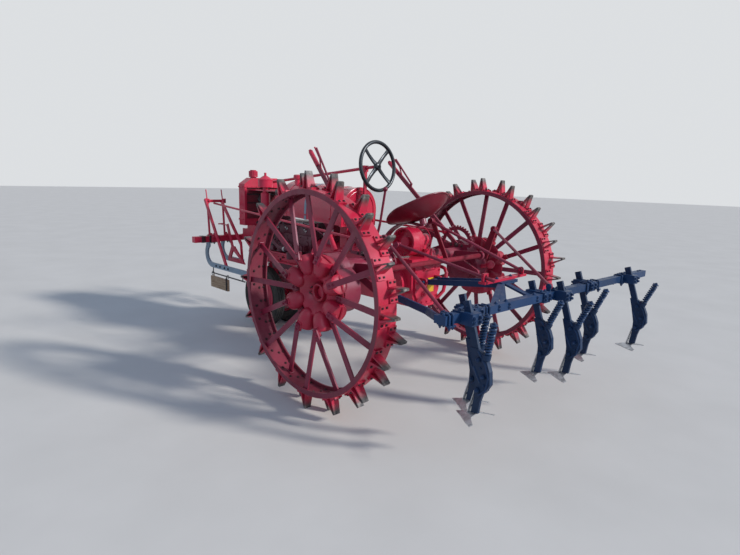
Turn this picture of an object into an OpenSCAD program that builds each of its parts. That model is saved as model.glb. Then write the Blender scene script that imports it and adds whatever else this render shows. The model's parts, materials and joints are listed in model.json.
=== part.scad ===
// Row-crop tractor on steel wheels, with a front cultivator rig and a rear spring-trip cultivator.
// The front points along +X, its left side along +Y, and the origin is the floor point under the
// middle of the rear axle. All lengths are in millimetres.

/* [Overall] */
// Distance between the rear and the front axle
wheelbase = 1880; // [1700:10:2100]
// Distance between the middles of the two rear rims
rear_tread = 1986; // [1900:2:2100]
// Distance between the middles of the two front tyres
front_tread = 270; // [240:2:320]
// Running clearance between a shaft and its bearing
run_gap = 0.5; // [0.3:0.1:1]
// Clearance between pieces that are bolted together
seat_gap = 0.3; // [0.2:0.1:0.5]

/* [Rear wheels] */
// Outer diameter of the rear rim band
rim_od = 1372; // [1200:4:1500]
// Width of the rear rim band
rim_w = 152; // [120:2:200]
// Thickness of the rim band
rim_t = 10; // [6:1:14]
// Depth of the flange along each edge of the rim
flange_h = 26; // [15:1:40]
// Height of a lug above the rim band
lug_h = 115; // [80:1:140]
// Width of a lug across the rim
lug_w = 64; // [40:1:70]
// Thickness of the bent lug plate
lug_t = 10; // [6:1:14]
// Number of lugs in each of the two rows
lugs_per_row = 14; // [10:1:16]
// Number of spokes in each rear wheel
spokes = 16; // [12:4:20]
// Width of a flat spoke
spoke_w = 38; // [24:1:50]
// Thickness of a flat spoke
spoke_t = 12; // [8:1:16]
// Radius of the ring on which the spokes are bolted to the hub
hub_ring_r = 240; // [225:1:255]
// Radius of a hub lobe at its open end
lobe_r = 66; // [50:1:74]
// Radius at which the hub lobes end
lobe_end_r = 305; // [290:1:320]
// Radius of the rear axle
axle_r = 38; // [28:1:44]

/* [Front wheels] */
// Radius of the front tyres
tyre_r = 320; // [280:1:360]
// Width of the front tyres
tyre_w = 118; // [90:2:140]
// Radius of the front rims
front_rim_r = 205; // [180:1:230]
// Radius of the front stub axle
stub_r = 19; // [14:1:24]
// Radius of the vertical steering spindle
spindle_r = 32; // [24:1:40]
// Distance of the spindle ahead of the front axle
trail = 40; // [0:5:60]

/* [Body] */
// Width between the outsides of the side rails
rail_span = 380; // [340:2:420]
// Height of a side rail
rail_h = 100; // [80:2:120]
// Height of the side rails above the floor
rail_z = 735; // [700:5:780]
// Height of the fuel tank's crown above the floor at its rear end
tank_top = 1478; // [1440:2:1520]
// Half width of the fuel tank
tank_half_w = 200; // [180:2:230]
// Height of the fuel tank
tank_h = 320; // [280:2:360]
// Length of the fuel tank
tank_len = 905; // [800:5:1000]
// Place of the tank's rear end ahead of the rear axle
tank_rear_x = 600; // [560:5:700]
// Half width of the radiator
rad_half_w = 245; // [220:1:280]
// Place of the radiator's rear face ahead of the front axle
rad_lead = 180; // [140:5:230]
// Depth of the radiator
rad_d = 110; // [90:2:140]
// Height of the radiator's foot above the floor
rad_z = 1050; // [1030:5:1080]
// Height of the radiator core
rad_h = 395; // [340:5:400]
// Half width of the transmission case
case_half_w = 180; // [160:2:200]
// Height of the transmission case's top above the floor
case_top = 970; // [940:5:990]
// Height of the transmission case's underside above the floor
case_bottom = 585; // [540:5:620]
// Height of the axle tubes above the floor
tube_z = 925; // [900:5:940]
// Radius of the axle tubes
tube_r = 66; // [50:1:80]
// Radius of the belt pulley
pulley_r = 112; // [100:1:116]
// Width of the belt pulley
pulley_w = 124; // [100:2:126]
// Diameter of the steering wheel
steer_wheel_d = 457; // [400:1:480]
// Height of the steering wheel's middle above the floor
steer_wheel_z = 1660; // [1620:5:1700]
// Fall of the steering shaft towards the front, in degrees
shaft_fall = 6; // [4:0.5:6]
// Radius of the steering shaft
shaft_r = 13; // [10:1:16]
// Radius of the pan seat
seat_r = 235; // [210:1:250]

/* [Rear cultivator] */
// Place of the lift pivot behind the rear axle
hinge_x = 220; // [210:1:230]
// Height of the lift pivot above the floor
hinge_z = 800; // [780:5:820]
// Side of the square tool bar
bar_side = 50; // [40:1:60]
// Place of the tool bar's middle behind the rear axle
bar_x = 1120; // [1080:5:1180]
// Height of the tool bar's middle above the floor
bar_z = 840; // [820:5:860]
// Angle at which the tool bar hangs across the tractor, in degrees
bar_swing = 4; // [0:0.5:6]
// Reach of the tool bar to the left
bar_left = 960; // [900:10:1000]
// Reach of the tool bar to the right
bar_right = 1600; // [1500:10:1650]
// Width of the shank's bar
shank_w = 42; // [36:1:46]
// Thickness of the shank's bar
shank_t = 18; // [12:1:24]
// Outer radius of a trip spring
spring_r = 22; // [16:1:26]
// Number of turns shown on a trip spring
spring_turns = 9; // [6:1:12]

/* [Front cultivator] */
// Place of the square cross pipe ahead of the steering post
pipe_lead = 175; // [155:5:225]
// Height of the cross pipe above the floor
pipe_z = 890; // [870:5:920]
// Side of the square cross pipe
pipe_side = 62; // [50:1:70]
// Reach of the cross pipe to each side
pipe_half = 650; // [600:10:800]

/* [Hidden] */
$fn = 48;
red = [0.72, 0.06, 0.09];
dark_red = [0.45, 0.05, 0.08];
slate_blue = [0.16, 0.24, 0.36];
silver = [0.7, 0.7, 0.72];
black = [0.06, 0.06, 0.07];
eps = 0.01;

// Rear wheel sizes that follow from the ones above
rim_r = rim_od / 2;
lug_count = 2 * lugs_per_row;
tip_t = 16;
tip_r = rim_r + lug_h;
axle_z = tip_r * cos(180 / lug_count) + tip_t / 2 * sin(180 / lug_count);
wheel_y = rear_tread / 2;
rad_x = wheelbase + rad_lead;

// Axis helpers
module along_y() { rotate([-90, 0, 0]) children(); }
module along_x() { rotate([0, 90, 0]) children(); }

// Round rod of radius r from p to q
module rod(p, q, r) {
    d = q - p;
    translate(p) rotate([0, acos(d[2] / norm(d)), atan2(d[1], d[0])]) cylinder(h = norm(d), r = r);
}

// Flat bar from p to q, w wide across the X-Z plane's normal and t thick
module flat_bar(p, q, w, t) {
    d = q - p;
    translate(p) rotate([0, acos(d[2] / norm(d)), atan2(d[1], d[0])])
        translate([-t / 2, -w / 2, 0]) cube([t, w, norm(d)]);
}

// Side outline in X and Z, w thick and centred on the plane y
module side_plate(pts, y, w) {
    translate([0, y + w / 2, 0]) rotate([90, 0, 0]) linear_extrude(w) polygon(pts);
}

// Link in the X-Z plane: two eyes of radius r joined by a bar, w thick, centred on y
module link(p, q, r, y, w) {
    d = [q[0] - p[0], q[1] - p[1]];
    translate([0, y + w / 2, 0]) rotate([90, 0, 0]) linear_extrude(w) {
        translate(p) circle(r);
        translate(q) circle(r);
        translate(p) rotate(atan2(d[1], d[0])) translate([0, -0.92 * r]) square([norm(d), 1.84 * r]);
    }
}

// Puts a wheel that was drawn about the Y axis on the rear axle; side is 1 for left, -1 for right.
// The drawn wheel has its outer side along +Y.
module rear_place(side) {
    translate([0, side * wheel_y, axle_z]) scale_y(side) children();
}
module scale_y(side) {
    if (side < 0) mirror([0, 1, 0]) children();
    else children();
}

// Profile of one bent lug: foot, steep leg, tip, slanted leg, foot
lug_foot = 88;
lug_sink = 8;
module lug_profile() {
    half = tip_t / 2;
    polygon([
        [-lug_foot, -lug_sink], [-lug_foot, lug_t], [-lug_foot * 0.56, lug_t], [-half, lug_h], [half, lug_h],
        [lug_foot * 0.3, lug_t], [lug_foot * 0.74, lug_t], [lug_foot * 0.74, -lug_sink],
        [lug_foot * 0.22, -lug_sink], [half * 0.2, lug_h - lug_t * 1.7], [-half * 0.3, lug_h - lug_t * 1.7],
        [-lug_foot * 0.44, -lug_sink]]);
}

module lugs() {
    row_y = rim_w / 2 - lug_w / 2 - 4;
    difference() {
        union() for (i = [0 : lug_count - 1])
            rotate([0, 180 + (i + 0.5) * 360 / lug_count, 0])
                translate([0, (i % 2 == 0 ? row_y : -row_y) - lug_w / 2, rim_r])
                    rotate([90, 0, 0]) mirror([0, 0, 1]) linear_extrude(lug_w) lug_profile();
        along_y() translate([0, 0, -rim_w]) cylinder(h = 2 * rim_w, r = rim_r - rim_t / 2, $fn = 180);
    }
}

module rim_band() {
    r_in = rim_r - rim_t;
    along_y() rotate_extrude($fn = 180) polygon([
        [r_in - flange_h, -rim_w / 2], [rim_r, -rim_w / 2], [rim_r, rim_w / 2], [r_in - flange_h, rim_w / 2],
        [r_in - flange_h, rim_w / 2 - rim_t], [r_in, rim_w / 2 - rim_t],
        [r_in, -rim_w / 2 + rim_t], [r_in - flange_h, -rim_w / 2 + rim_t]]);
}

module rear_rim(side) {
    color(red) rear_place(side) {
        rim_band();
        lugs();
    }
}

// Places across the wheel, from the rim's middle plane, of the spokes' lower faces:
// row 0 is bolted on the hub's lobes, row 1 on the dish between them.
// Columns: at the hub ring, at the rim
spoke_y = [[46, -16], [-38, 46]];
spoke_in_r = [232, 200];
spoke_seat_r = [222, 262];
spoke_turn = 360 / spokes;
function spoke_end_r() = sqrt(pow(rim_r - rim_t, 2) - pow(spoke_w / 2, 2)) - seat_gap;
function spoke_slope(row) = (spoke_y[row][1] - spoke_y[row][0]) / (spoke_end_r() - hub_ring_r);
function spoke_at(row, r) = spoke_y[row][0] + (r - hub_ring_r) * spoke_slope(row);
// Side view of a spoke's place between two radii, from low to high above its lower face
module spoke_side(row, near_r, far_r, low, high) {
    rotate([90, 0, 90]) linear_extrude(spoke_w) polygon([
        [spoke_at(row, near_r) + low, near_r], [spoke_at(row, far_r) + low, far_r],
        [spoke_at(row, far_r) + high, far_r], [spoke_at(row, near_r) + high, near_r]]);
}

module rear_spokes(side) {
    color(dark_red) rear_place(side) for (i = [0 : spokes - 1]) {
        row = 1 - i % 2;
        rotate([0, i * spoke_turn, 0]) translate([-spoke_w / 2, 0, 0])
            spoke_side(row, spoke_in_r[row], spoke_end_r(), 0, spoke_t);
    }
}

// Hub: barrel, dished plate under every second spoke, split collar, and the cup-shaped lobes between
hub_barrel_r = 74;
hub_out = -52;
hub_in = -118;
dish_t = 12;
lobe_in_r = 108;
lobe_root_r = 26;
lobe_y = -22;
lobe_wall = 9;
collar_out = -22;
module hub_dish() {
    root_r = hub_barrel_r - 8;
    edge_r = spoke_seat_r[1];
    under = seat_gap + dish_t;
    along_y() rotate_extrude($fn = 96) polygon([
        [root_r, spoke_at(1, root_r) - seat_gap], [edge_r, spoke_at(1, edge_r) - seat_gap],
        [edge_r, spoke_at(1, edge_r) - under], [root_r, spoke_at(1, root_r) - under]]);
}
module hub_lobe() {
    len = lobe_end_r - lobe_in_r;
    difference() {
        union() {
            translate([0, lobe_y, lobe_in_r]) cylinder(h = len, r1 = lobe_root_r, r2 = lobe_r);
            translate([-spoke_w / 2 - 3, lobe_y, spoke_seat_r[0]])
                cube([spoke_w + 6, 60, lobe_end_r - 16 - spoke_seat_r[0]]);
        }
        translate([0, lobe_y, lobe_in_r + 40]) cylinder(h = len, r1 = lobe_root_r, r2 = lobe_r + 3);
        translate([-100, 0, 0]) rotate([90, 0, 90]) linear_extrude(200) polygon([
            [spoke_at(0, 100) - seat_gap, 100], [spoke_at(0, 400) - seat_gap, 400], [200, 400], [200, 100]]);
    }
}
module rear_hub(side) {
    bore_r = axle_r + 4;
    color(red) rear_place(side) {
        difference() {
            union() {
                along_y() translate([0, 0, hub_in]) cylinder(h = hub_out - hub_in, r = hub_barrel_r);
                along_y() translate([0, 0, hub_out - 1]) cylinder(h = collar_out - hub_out + 1, r = 58);
                for (x = [-14, 6]) translate([x, collar_out - 26, 50]) cube([8, 26, 32]);
                hub_dish();
                for (i = [1 : 2 : spokes - 1]) rotate([0, i * spoke_turn, 0]) hub_lobe();
            }
            along_y() translate([0, 0, hub_out - 34]) cylinder(h = 80, r = bore_r);
            translate([-6, collar_out - 26, 20]) cube([12, 40, 100]);
            along_x() translate([-68, collar_out - 13, -30]) cylinder(h = 60, r = 5);
        }
        along_y() translate([0, 0, stub_in_y()]) cylinder(h = hub_out - 22 - stub_in_y(), r = axle_r);
    }
}
function stub_in_y() = drop_out_y - wheel_y - 70;

// Front axle: spindle in the bolster, yoke and two stub axles
spindle_x = wheelbase + trail;
yoke_top = 640;
bolster_z = 668;
front_y = front_tread / 2;
module steer_yoke() {
    color(red) {
        translate([spindle_x, 0, yoke_top]) cylinder(h = 330, r = spindle_r);
        translate([spindle_x, 0, yoke_top - 36]) cylinder(h = 52, r = spindle_r + 22);
        side_plate([[wheelbase - 34, tyre_r - 34], [wheelbase + 34, tyre_r - 34], [spindle_x + 52, yoke_top - 30],
            [spindle_x - 52, yoke_top - 30]], 0, 60);
        translate([wheelbase, -front_y - tyre_w / 2 - 18, tyre_r]) along_y()
            cylinder(h = front_tread + tyre_w + 36, r = stub_r);
    }
}

module front_place(side) {
    translate([wheelbase, side * front_y, tyre_r]) scale_y(side) children();
}
// Tyre: revolved section with straight ribs round the tread
module front_tyre(side) {
    half = tyre_w / 2;
    color(black) front_place(side) along_y() rotate_extrude($fn = 96) polygon([
        [front_rim_r, -half * 0.62], [front_rim_r + 22, -half * 0.8], [tyre_r - 55, -half], [tyre_r - 28, -half * 0.94],
        [tyre_r - 9, -half * 0.72], [tyre_r - 9, -half * 0.5], [tyre_r - 1, -half * 0.45], [tyre_r - 1, -half * 0.22],
        [tyre_r - 9, -half * 0.18], [tyre_r - 9, -half * 0.12], [tyre_r, -half * 0.09], [tyre_r, half * 0.09],
        [tyre_r - 9, half * 0.12], [tyre_r - 9, half * 0.18], [tyre_r - 1, half * 0.22], [tyre_r - 1, half * 0.45],
        [tyre_r - 9, half * 0.5], [tyre_r - 9, half * 0.72], [tyre_r - 28, half * 0.94], [tyre_r - 55, half],
        [front_rim_r + 22, half * 0.8], [front_rim_r, half * 0.62]]);
}
// Pressed rim with a dished disc and a hub that runs on the stub axle
module front_disc(side) {
    half = tyre_w / 2 * 0.62;
    r = front_rim_r - seat_gap;
    color(red) front_place(side) along_y() difference() {
        union() {
            rotate_extrude($fn = 96) polygon([
                [r, -half], [r, half], [r - 6, half + 6], [r - 20, half + 6], [r - 26, half - 14], [r - 26, 4],
                [110, 26], [62, 26], [62, half + 4], [36, half + 4], [36, -half], [62, -half], [62, 14],
                [104, 14], [r - 34, -10], [r - 26, -half - 6], [r - 6, -half - 6]]);
            cylinder(h = half + 16, r = 40);
        }
        translate([0, 0, -tyre_w]) cylinder(h = 2 * tyre_w, r = stub_r + run_gap);
    }
}

// Two channel rails with bolt holes for implements
rail_rear_x = 800;
rail_front_x = wheelbase - 40;
rail_t = 10;
rail_flange = 44;
hole_r = 9;
hole_step = 100;
module side_rails() {
    len = rail_front_x - rail_rear_x;
    color(red) for (side = [1, -1]) scale_y(side) translate([rail_rear_x, rail_span / 2, rail_z]) difference() {
        translate([0, -rail_t, 0]) cube([len, rail_flange + rail_t, rail_h]);
        translate([-1, 0, rail_t]) cube([len + 2, rail_flange + 1, rail_h - 2 * rail_t]);
        for (x = [150 : hole_step : len - 150]) translate([x, -rail_t - 1, rail_h / 2])
            along_y() cylinder(h = rail_t + 2, r = hole_r);
    }
}
rail_in_y = rail_span / 2 - rail_t - seat_gap;

// Pedestal casting between the rails, with the spindle's bearing and a nose under the steering post
post_x = rad_x + rad_d + 55;
pipe_x = post_x + pipe_lead;
post_foot_z = rad_z - 50;
module front_bolster() {
    color(red) difference() {
        union() {
            side_plate([[bolster_rear, rail_z + 2], [rail_front_x + 20, rail_z - 5], [spindle_x - 70, bolster_z + 30],
                [spindle_x + 70, bolster_z + 30], [post_x + 45, 900], [post_x + 45, post_foot_z], [post_x - 50, post_foot_z],
                [rad_x + rad_d, rad_z - seat_gap], [rad_x - 40, rad_z - seat_gap], [rail_front_x + 60, 960],
                [bolster_rear, rail_z + rail_h]], 0, 2 * rail_in_y - 60);
            for (y = [-rail_in_y + 15, rail_in_y - 15])
                side_plate([[bolster_rear, rail_z], [rail_front_x, rail_z], [rail_front_x, rail_z + rail_h],
                    [bolster_rear, rail_z + rail_h]], y, 30);
            translate([spindle_x, 0, bolster_z]) cylinder(h = 240, r = 66);
        }
        translate([spindle_x, 0, bolster_z - 1]) cylinder(h = 310, r = spindle_r + run_gap);
    }
}

// Radiator: core between two side bars, cast top tank with sloped shoulders, bottom tank, cap
cap_y = 105;
cap_r = 44;
shaft_x0 = 400;
function shaft_z(x) = steer_wheel_z - (x - shaft_x0) * tan(shaft_fall);
module radiator() {
    top = rad_z + rad_h;
    neck_z = top + 100;
    tunnel_r = shaft_r + 9;
    color(red) difference() {
        union() {
            translate([rad_x, -rad_half_w, rad_z]) cube([rad_d, 2 * rad_half_w, 60]);
            translate([rad_x + 14, -rad_half_w + 26, rad_z + 60 - eps]) cube([rad_d - 28, 2 * rad_half_w - 52, rad_h - 60 + 2 * eps]);
            for (y = [-rad_half_w, rad_half_w - 26]) translate([rad_x, y, rad_z + 60 - eps])
                cube([rad_d, 26, rad_h - 60 + 2 * eps]);
            translate([rad_x, 0, 0]) rotate([90, 0, 90]) linear_extrude(rad_d) polygon([
                [-rad_half_w, top], [rad_half_w, top], [rad_half_w, top + 30], [cap_y + 48, top + 92], [-cap_y - 48, top + 92],
                [-rad_half_w, top + 30]]);
            translate([rad_x + rad_d / 2, cap_y, top + 60]) cylinder(h = neck_z - top - 60, r = 32);
            translate([rad_x + rad_d / 2, cap_y, neck_z]) cylinder(h = 62, r = cap_r);
            translate([rad_x + rad_d / 2, cap_y, neck_z + 62]) cylinder(h = 10, r = cap_r - 12);
        }
        translate([rad_x - 20, 0, shaft_z(rad_x - 20)]) rotate([0, 90 + shaft_fall, 0])
            cylinder(h = rad_d + 60, r = tunnel_r);
    }
}

// Four-bladed fan on a hub that is carried by the engine's front
fan_x = rad_x - 100;
fan_z = rad_z + 150;
fan_hub_t = 36;
fan_shaft = 170;
module fan() {
    color(black) translate([fan_x, 0, fan_z]) {
        along_x() translate([0, 0, -fan_hub_t / 2]) cylinder(h = fan_hub_t, r = 42);
        for (a = [45 : 90 : 315]) rotate([a, 0, 0]) translate([0, 0, 36]) rotate([0, 0, 28])
            translate([-3, -38, 0]) cube([6, 76, 170]);
        translate([-fan_hub_t / 2 - fan_shaft, 0, 0]) along_x() cylinder(h = fan_shaft + 1, r = 20);
    }
}

// Engine: crankcase, block, head and cover, with the fan's carrier at the front
eng_rear = 1060;
eng_front = wheelbase - 140;
bolster_rear = eng_front + seat_gap;
port_step = (eng_front - eng_rear - 230) / 3;
module engine_block() {
    pad_front = fan_x - fan_hub_t / 2 - fan_shaft - seat_gap;
    color(dark_red) {
        translate([eng_rear, -130, 640]) cube([eng_front - eng_rear, 260, 190]);
        translate([eng_rear + 20, -150, 830 - eps]) cube([eng_front - eng_rear - 40, 300, 190]);
        translate([eng_rear + 20, -125, 1020 - 2 * eps]) cube([eng_front - eng_rear - 40, 250, 76]);
        translate([eng_rear + 60, -80, 1096 - 3 * eps]) cube([eng_front - eng_rear - 120, 160, 42]);
        translate([eng_front - 40, -80, 1000]) cube([pad_front - eng_front + 40, 160, 240]);
        for (i = [0 : 3]) translate([eng_rear + 100 + i * port_step, 150 - eps, 930]) along_y() cylinder(h = 8, r = 44);
    }
}

// Left side of the engine: inlet and exhaust manifold, carburettor bowl and magneto
module manifold() {
    y0 = 158 + seat_gap;
    above_rail = rail_z + rail_h + 12;
    color(dark_red) {
        translate([eng_rear + 60, y0, 880]) cube([eng_front - eng_rear - 140, 44, 52]);
        for (i = [0 : 3]) translate([eng_rear + 100 + i * port_step, y0, 906]) along_y() cylinder(h = 60, r = 30);
        for (x = [eng_rear + 140, eng_rear + 290]) translate([x, y0 + 22, above_rail]) cylinder(h = 881 - above_rail, r = 22);
        translate([eng_front - 170, y0 + 22, 932 - eps]) cylinder(h = 130, r = 21);
    }
}

// Air cleaner: canister behind the radiator with a dirt cup, and a drum above the hood plate
cleaner_x = rad_x - 260;
cleaner_y = 165;
cleaner_neck_r = 26;
module air_cleaner() {
    color(red) {
        translate([cleaner_x, cleaner_y, 0]) rotate_extrude() polygon([
            [0, 1180], [34, 1180], [34, 1215], [20, 1222], [20, 1238], [46, 1246], [46, 1390], [cleaner_neck_r, 1398],
            [cleaner_neck_r, 1450], [72, 1450], [72, 1520], [76, 1524],
            [20, 1560], [12, 1562], [12, 1590], [0, 1592]]);
        translate([cleaner_x - 60, 20, 1240 + seat_gap]) cube([40, cleaner_y - 50, 40]);
    }
}

// Fuel tank: D-shaped shell with a rolled rear rim, filler neck, hood plate and side straps
tank_drop = 2.6;
module tank_section(grow) {
    r = tank_half_w + grow;
    intersection() {
        translate([0, 0]) circle(r, $fn = 96);
        translate([-r, -r * 0.2]) square([2 * r, 1.2 * r]);
    }
    translate([-r, -tank_h + tank_half_w - grow]) square([2 * r, tank_h - tank_half_w + 2 * grow]);
}
module tank_slice(x, len, grow) {
    translate([x, 0, tank_top - tank_half_w]) rotate([90, 0, 90]) linear_extrude(len) tank_section(grow);
}
module fuel_tank() {
    hood_z = tank_top - 68;
    tank_front_x = tank_rear_x + tank_len;
    color(red) {
        translate([tank_rear_x, 0, tank_top]) rotate([0, -tank_drop, 0]) translate([-tank_rear_x, 0, -tank_top]) {
            tank_slice(tank_rear_x + 24, tank_len - 24, 0);
            tank_slice(tank_rear_x, 24 + eps, 6);
            translate([tank_front_x - 135, 90, tank_top - 60]) cylinder(h = 88, r = 26);
            translate([tank_front_x - 135, 90, tank_top + 28 - eps]) cylinder(h = 32, r = 38);
        }
        difference() {
            translate([tank_front_x - 60, -178, hood_z]) cube([rad_x - seat_gap - tank_front_x + 60, 356, 12]);
            translate([cleaner_x, cleaner_y, hood_z - 1]) cylinder(h = 14, r = cleaner_neck_r + seat_gap);
        }
    }
}

// Clutch housing between the transmission case and the engine
clutch_front = eng_rear - seat_gap;
clutch_rear = 450 + seat_gap;
post_seat_z = 1166;
module clutch_housing() {
    saddle_x = tank_rear_x + 40;
    function under_tank(x) = tank_top - tank_h + (x - tank_rear_x) * tan(tank_drop) - 2 * seat_gap;
    color(red) {
        translate([clutch_rear, -150, 690]) cube([200, 300, 300]);
        translate([clutch_rear + 200 - eps, 0, 830]) along_x() cylinder(h = 130, r = 170);
        translate([clutch_rear + 330 - 2 * eps, 0, 830]) along_x()
            cylinder(h = clutch_front - clutch_rear - 330 + 2 * eps, r1 = 170, r2 = rail_in_y - 4);
        for (side = [1, -1]) scale_y(side) translate([rail_rear_x + 20, 120, rail_z + 14])
            cube([120, rail_in_y - 120, rail_h - 28]);
        translate([clutch_rear + 40, -60, 990 - eps]) cube([90, 120, post_seat_z - 990]);
        side_plate([[saddle_x, 960], [saddle_x + 90, 960], [saddle_x + 90, under_tank(saddle_x + 90)],
            [saddle_x, under_tank(saddle_x)]], 0, 220);
    }
}

// Transmission case: tall casting with a bulged left side and a rear cover
case_rear = -160;
case_front = 450;
module case_outline(inset) {
    half = case_half_w - inset;
    polygon([
        [-half * 0.6, case_bottom + inset], [half * 0.6, case_bottom + inset], [half * 0.92, case_bottom + 120],
        [half, case_top - 60], [half, case_top - inset], [-half, case_top - inset], [-half, case_top - 60],
        [-half * 0.92, case_bottom + 120]]);
}
module transmission_case() {
    color(red) {
        difference() {
            union() {
                translate([case_rear, 0, 0]) rotate([90, 0, 90]) linear_extrude(case_front - case_rear)
                    case_outline(0);
                translate([case_rear - case_cover_t, 0, 0]) rotate([90, 0, 90]) linear_extrude(case_cover_t + 1)
                    case_outline(26);
                translate([case_rear - 10, -case_half_w - 8, case_top - 26])
                    cube([case_front - case_rear + 10, 2 * case_half_w + 16, 26]);
                for (side = [1, -1]) scale_y(side) {
                    translate([tube_x, case_half_w - 50, tube_z - 50]) along_y() cylinder(h = case_boss + 50, r = 110);
                    translate([tube_x - 20, case_half_w - 50, case_bottom + 185]) along_y()
                        cylinder(h = case_boss + 50, r = 150);
                }
            }
            translate([-1000, -1000, case_top]) cube([2000, 2000, 200]);
        }
        for (y = hinge_ears) difference() {
            union() {
                translate([-hinge_x, y - ear_t / 2, hinge_z - 28]) cube([hinge_x + case_rear - case_cover_t + 1, ear_t, 56]);
                translate([-hinge_x, y - ear_t / 2, hinge_z]) along_y() cylinder(h = ear_t, r = 28);
            }
            translate([-hinge_x, y - ear_t, hinge_z]) along_y() cylinder(h = 2 * ear_t, r = hinge_pin_r + run_gap);
        }
        translate([lever_x, 0, case_top - eps]) cylinder(h = 70, r = 44);
    }
}
case_cover_t = 16;
case_boss = 40;
ear_t = 18;
hinge_ears = [-92, 92];
hinge_pin_r = 13;
lever_x = 395;

// Axle tubes with the drop cases that carry the wheel axles
drop_in_y = 705;
drop_out_y = 850;
tube_x = 60;
module drop_outline() {
    d = [-tube_x, axle_z - tube_z];
    translate([tube_x, tube_z]) circle(118);
    translate([0, axle_z]) circle(165);
    translate([0, axle_z]) rotate(atan2(-d[1], -d[0])) translate([0, -110]) square([norm(d), 220]);
}
module axle_housings() {
    tube_start = case_half_w + case_boss + seat_gap;
    color(dark_red) {
        for (side = [1, -1]) scale_y(side) difference() {
            union() {
                translate([tube_x, tube_start, tube_z]) along_y() cylinder(h = drop_in_y - tube_start + eps, r = tube_r);
                translate([tube_x, tube_start, tube_z]) along_y() cylinder(h = 16, r = tube_r + 40);
                translate([tube_x, tube_start + 15, tube_z]) along_y() cylinder(h = 140, r1 = tube_r + 26, r2 = tube_r + 2);
                translate([0, drop_out_y, 0]) rotate([90, 0, 0]) linear_extrude(drop_out_y - drop_in_y) drop_outline();
                translate([0, drop_out_y - eps, axle_z]) along_y() cylinder(h = 20, r = 84);
                link([tube_x, tube_z], [rock_x, rock_z], 36, carrier_y, carrier_t);
                link([tube_x, tube_z], [-hinge_x, hinge_z], 30, carrier_y, carrier_t);
            }
            translate([0, drop_out_y - 80, axle_z]) along_y() cylinder(h = 140, r = axle_r + run_gap);
            translate([rock_x, carrier_y - carrier_t, rock_z]) along_y() cylinder(h = 2 * carrier_t, r = rock_r + run_gap);
        }
        translate([-hinge_x, carrier_y - carrier_t / 2 - 40, hinge_z]) along_y() cylinder(h = 41, r = hinge_pin_r);
        link([tube_x, tube_z], stay_eye, 20, stay_y + 22, 12);
        translate([stay_eye[0], stay_y - 12, stay_eye[1]]) along_y() cylinder(h = 34, r = lift_pin_r);
    }
}
rock_x = -250;
rock_z = 950;
rock_r = 20;
carrier_y = 600;
carrier_t = 24;
stay_eye = [-120, 1090];
stay_y = 290;

// Belt pulley drive: bracket on the case with a bearing, and the crowned pulley
pulley_x = -50;
pulley_z = 1092;
pulley_y = 100;
module pulley_bracket() {
    color(red) difference() {
        union() {
            translate([pulley_x - 70, -112, case_top + seat_gap]) cube([150, 96, 60]);
            translate([pulley_x, -112, pulley_z]) along_y() cylinder(h = 96, r = 52);
            translate([pulley_x - 40, -100, case_top + 30]) cube([80, 72, pulley_z - case_top - 30]);
        }
        translate([pulley_x, -60, pulley_z]) along_y() cylinder(h = 80, r = 16 + run_gap);
    }
}
module belt_pulley() {
    half = pulley_w / 2;
    color(red) translate([pulley_x, pulley_y, pulley_z]) along_y() {
        rotate_extrude($fn = 96) polygon([
            [pulley_r - 14, -half], [pulley_r - 4, -half], [pulley_r, 0], [pulley_r - 4, half], [pulley_r - 14, half],
            [pulley_r - 14, 10], [40, 10], [40, half - 20], [0, half - 20], [0, -half + 6], [40, -half + 6], [40, -10],
            [pulley_r - 14, -10]]);
        translate([0, 0, -pulley_y - 40]) cylinder(h = pulley_y + 40 - half + 12, r = 16);
    }
}

// Steering: post behind the tank, shaft over the hood, gear case and post ahead of the radiator
module steering_post() {
    bearing_x = 545;
    bz = shaft_z(bearing_x);
    front_z = shaft_z(post_x);
    color(red) {
        difference() {
            translate([bearing_x - 14, -22, bz - 30]) cube([28, 44, 52]);
            translate([bearing_x - 40, 0, shaft_z(bearing_x - 40)]) rotate([0, 90 + shaft_fall, 0])
                cylinder(h = 80, r = shaft_r + run_gap);
        }
        translate([bearing_x - 9, -14, post_seat_z + seat_gap])
            cube([18, 28, bz - 30 - post_seat_z - seat_gap + eps]);
        difference() {
            union() {
                translate([post_x, 0, post_foot_z + seat_gap]) cylinder(h = front_z - post_foot_z + 20, r = 34);
                translate([post_x, 0, front_z - 50]) cylinder(h = 96, r = 50);
            }
            translate([post_x - 90, 0, shaft_z(post_x - 90)]) rotate([0, 90 + shaft_fall, 0])
                cylinder(h = 100, r = shaft_r + run_gap);
        }
    }
}
module steering_shaft() {
    color(red) translate([shaft_x0, 0, steer_wheel_z]) rotate([0, 90 + shaft_fall, 0])
        translate([0, 0, 22]) cylinder(h = (post_x - shaft_x0 - 20) / cos(shaft_fall) - 22, r = shaft_r);
}
module steering_wheel() {
    ring_r = 13;
    big = steer_wheel_d / 2 - ring_r;
    color(black) translate([shaft_x0, 0, steer_wheel_z]) rotate([0, 90 + shaft_fall, 0]) {
        rotate_extrude($fn = 72) translate([big, 0]) circle(ring_r, $fn = 24);
        translate([0, 0, -14]) cylinder(h = 36 - seat_gap, r = 30);
        for (a = [45 : 90 : 315]) rotate([0, 0, a]) translate([24, -12, -5]) cube([big - 30, 24, 10]);
    }
}

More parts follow.
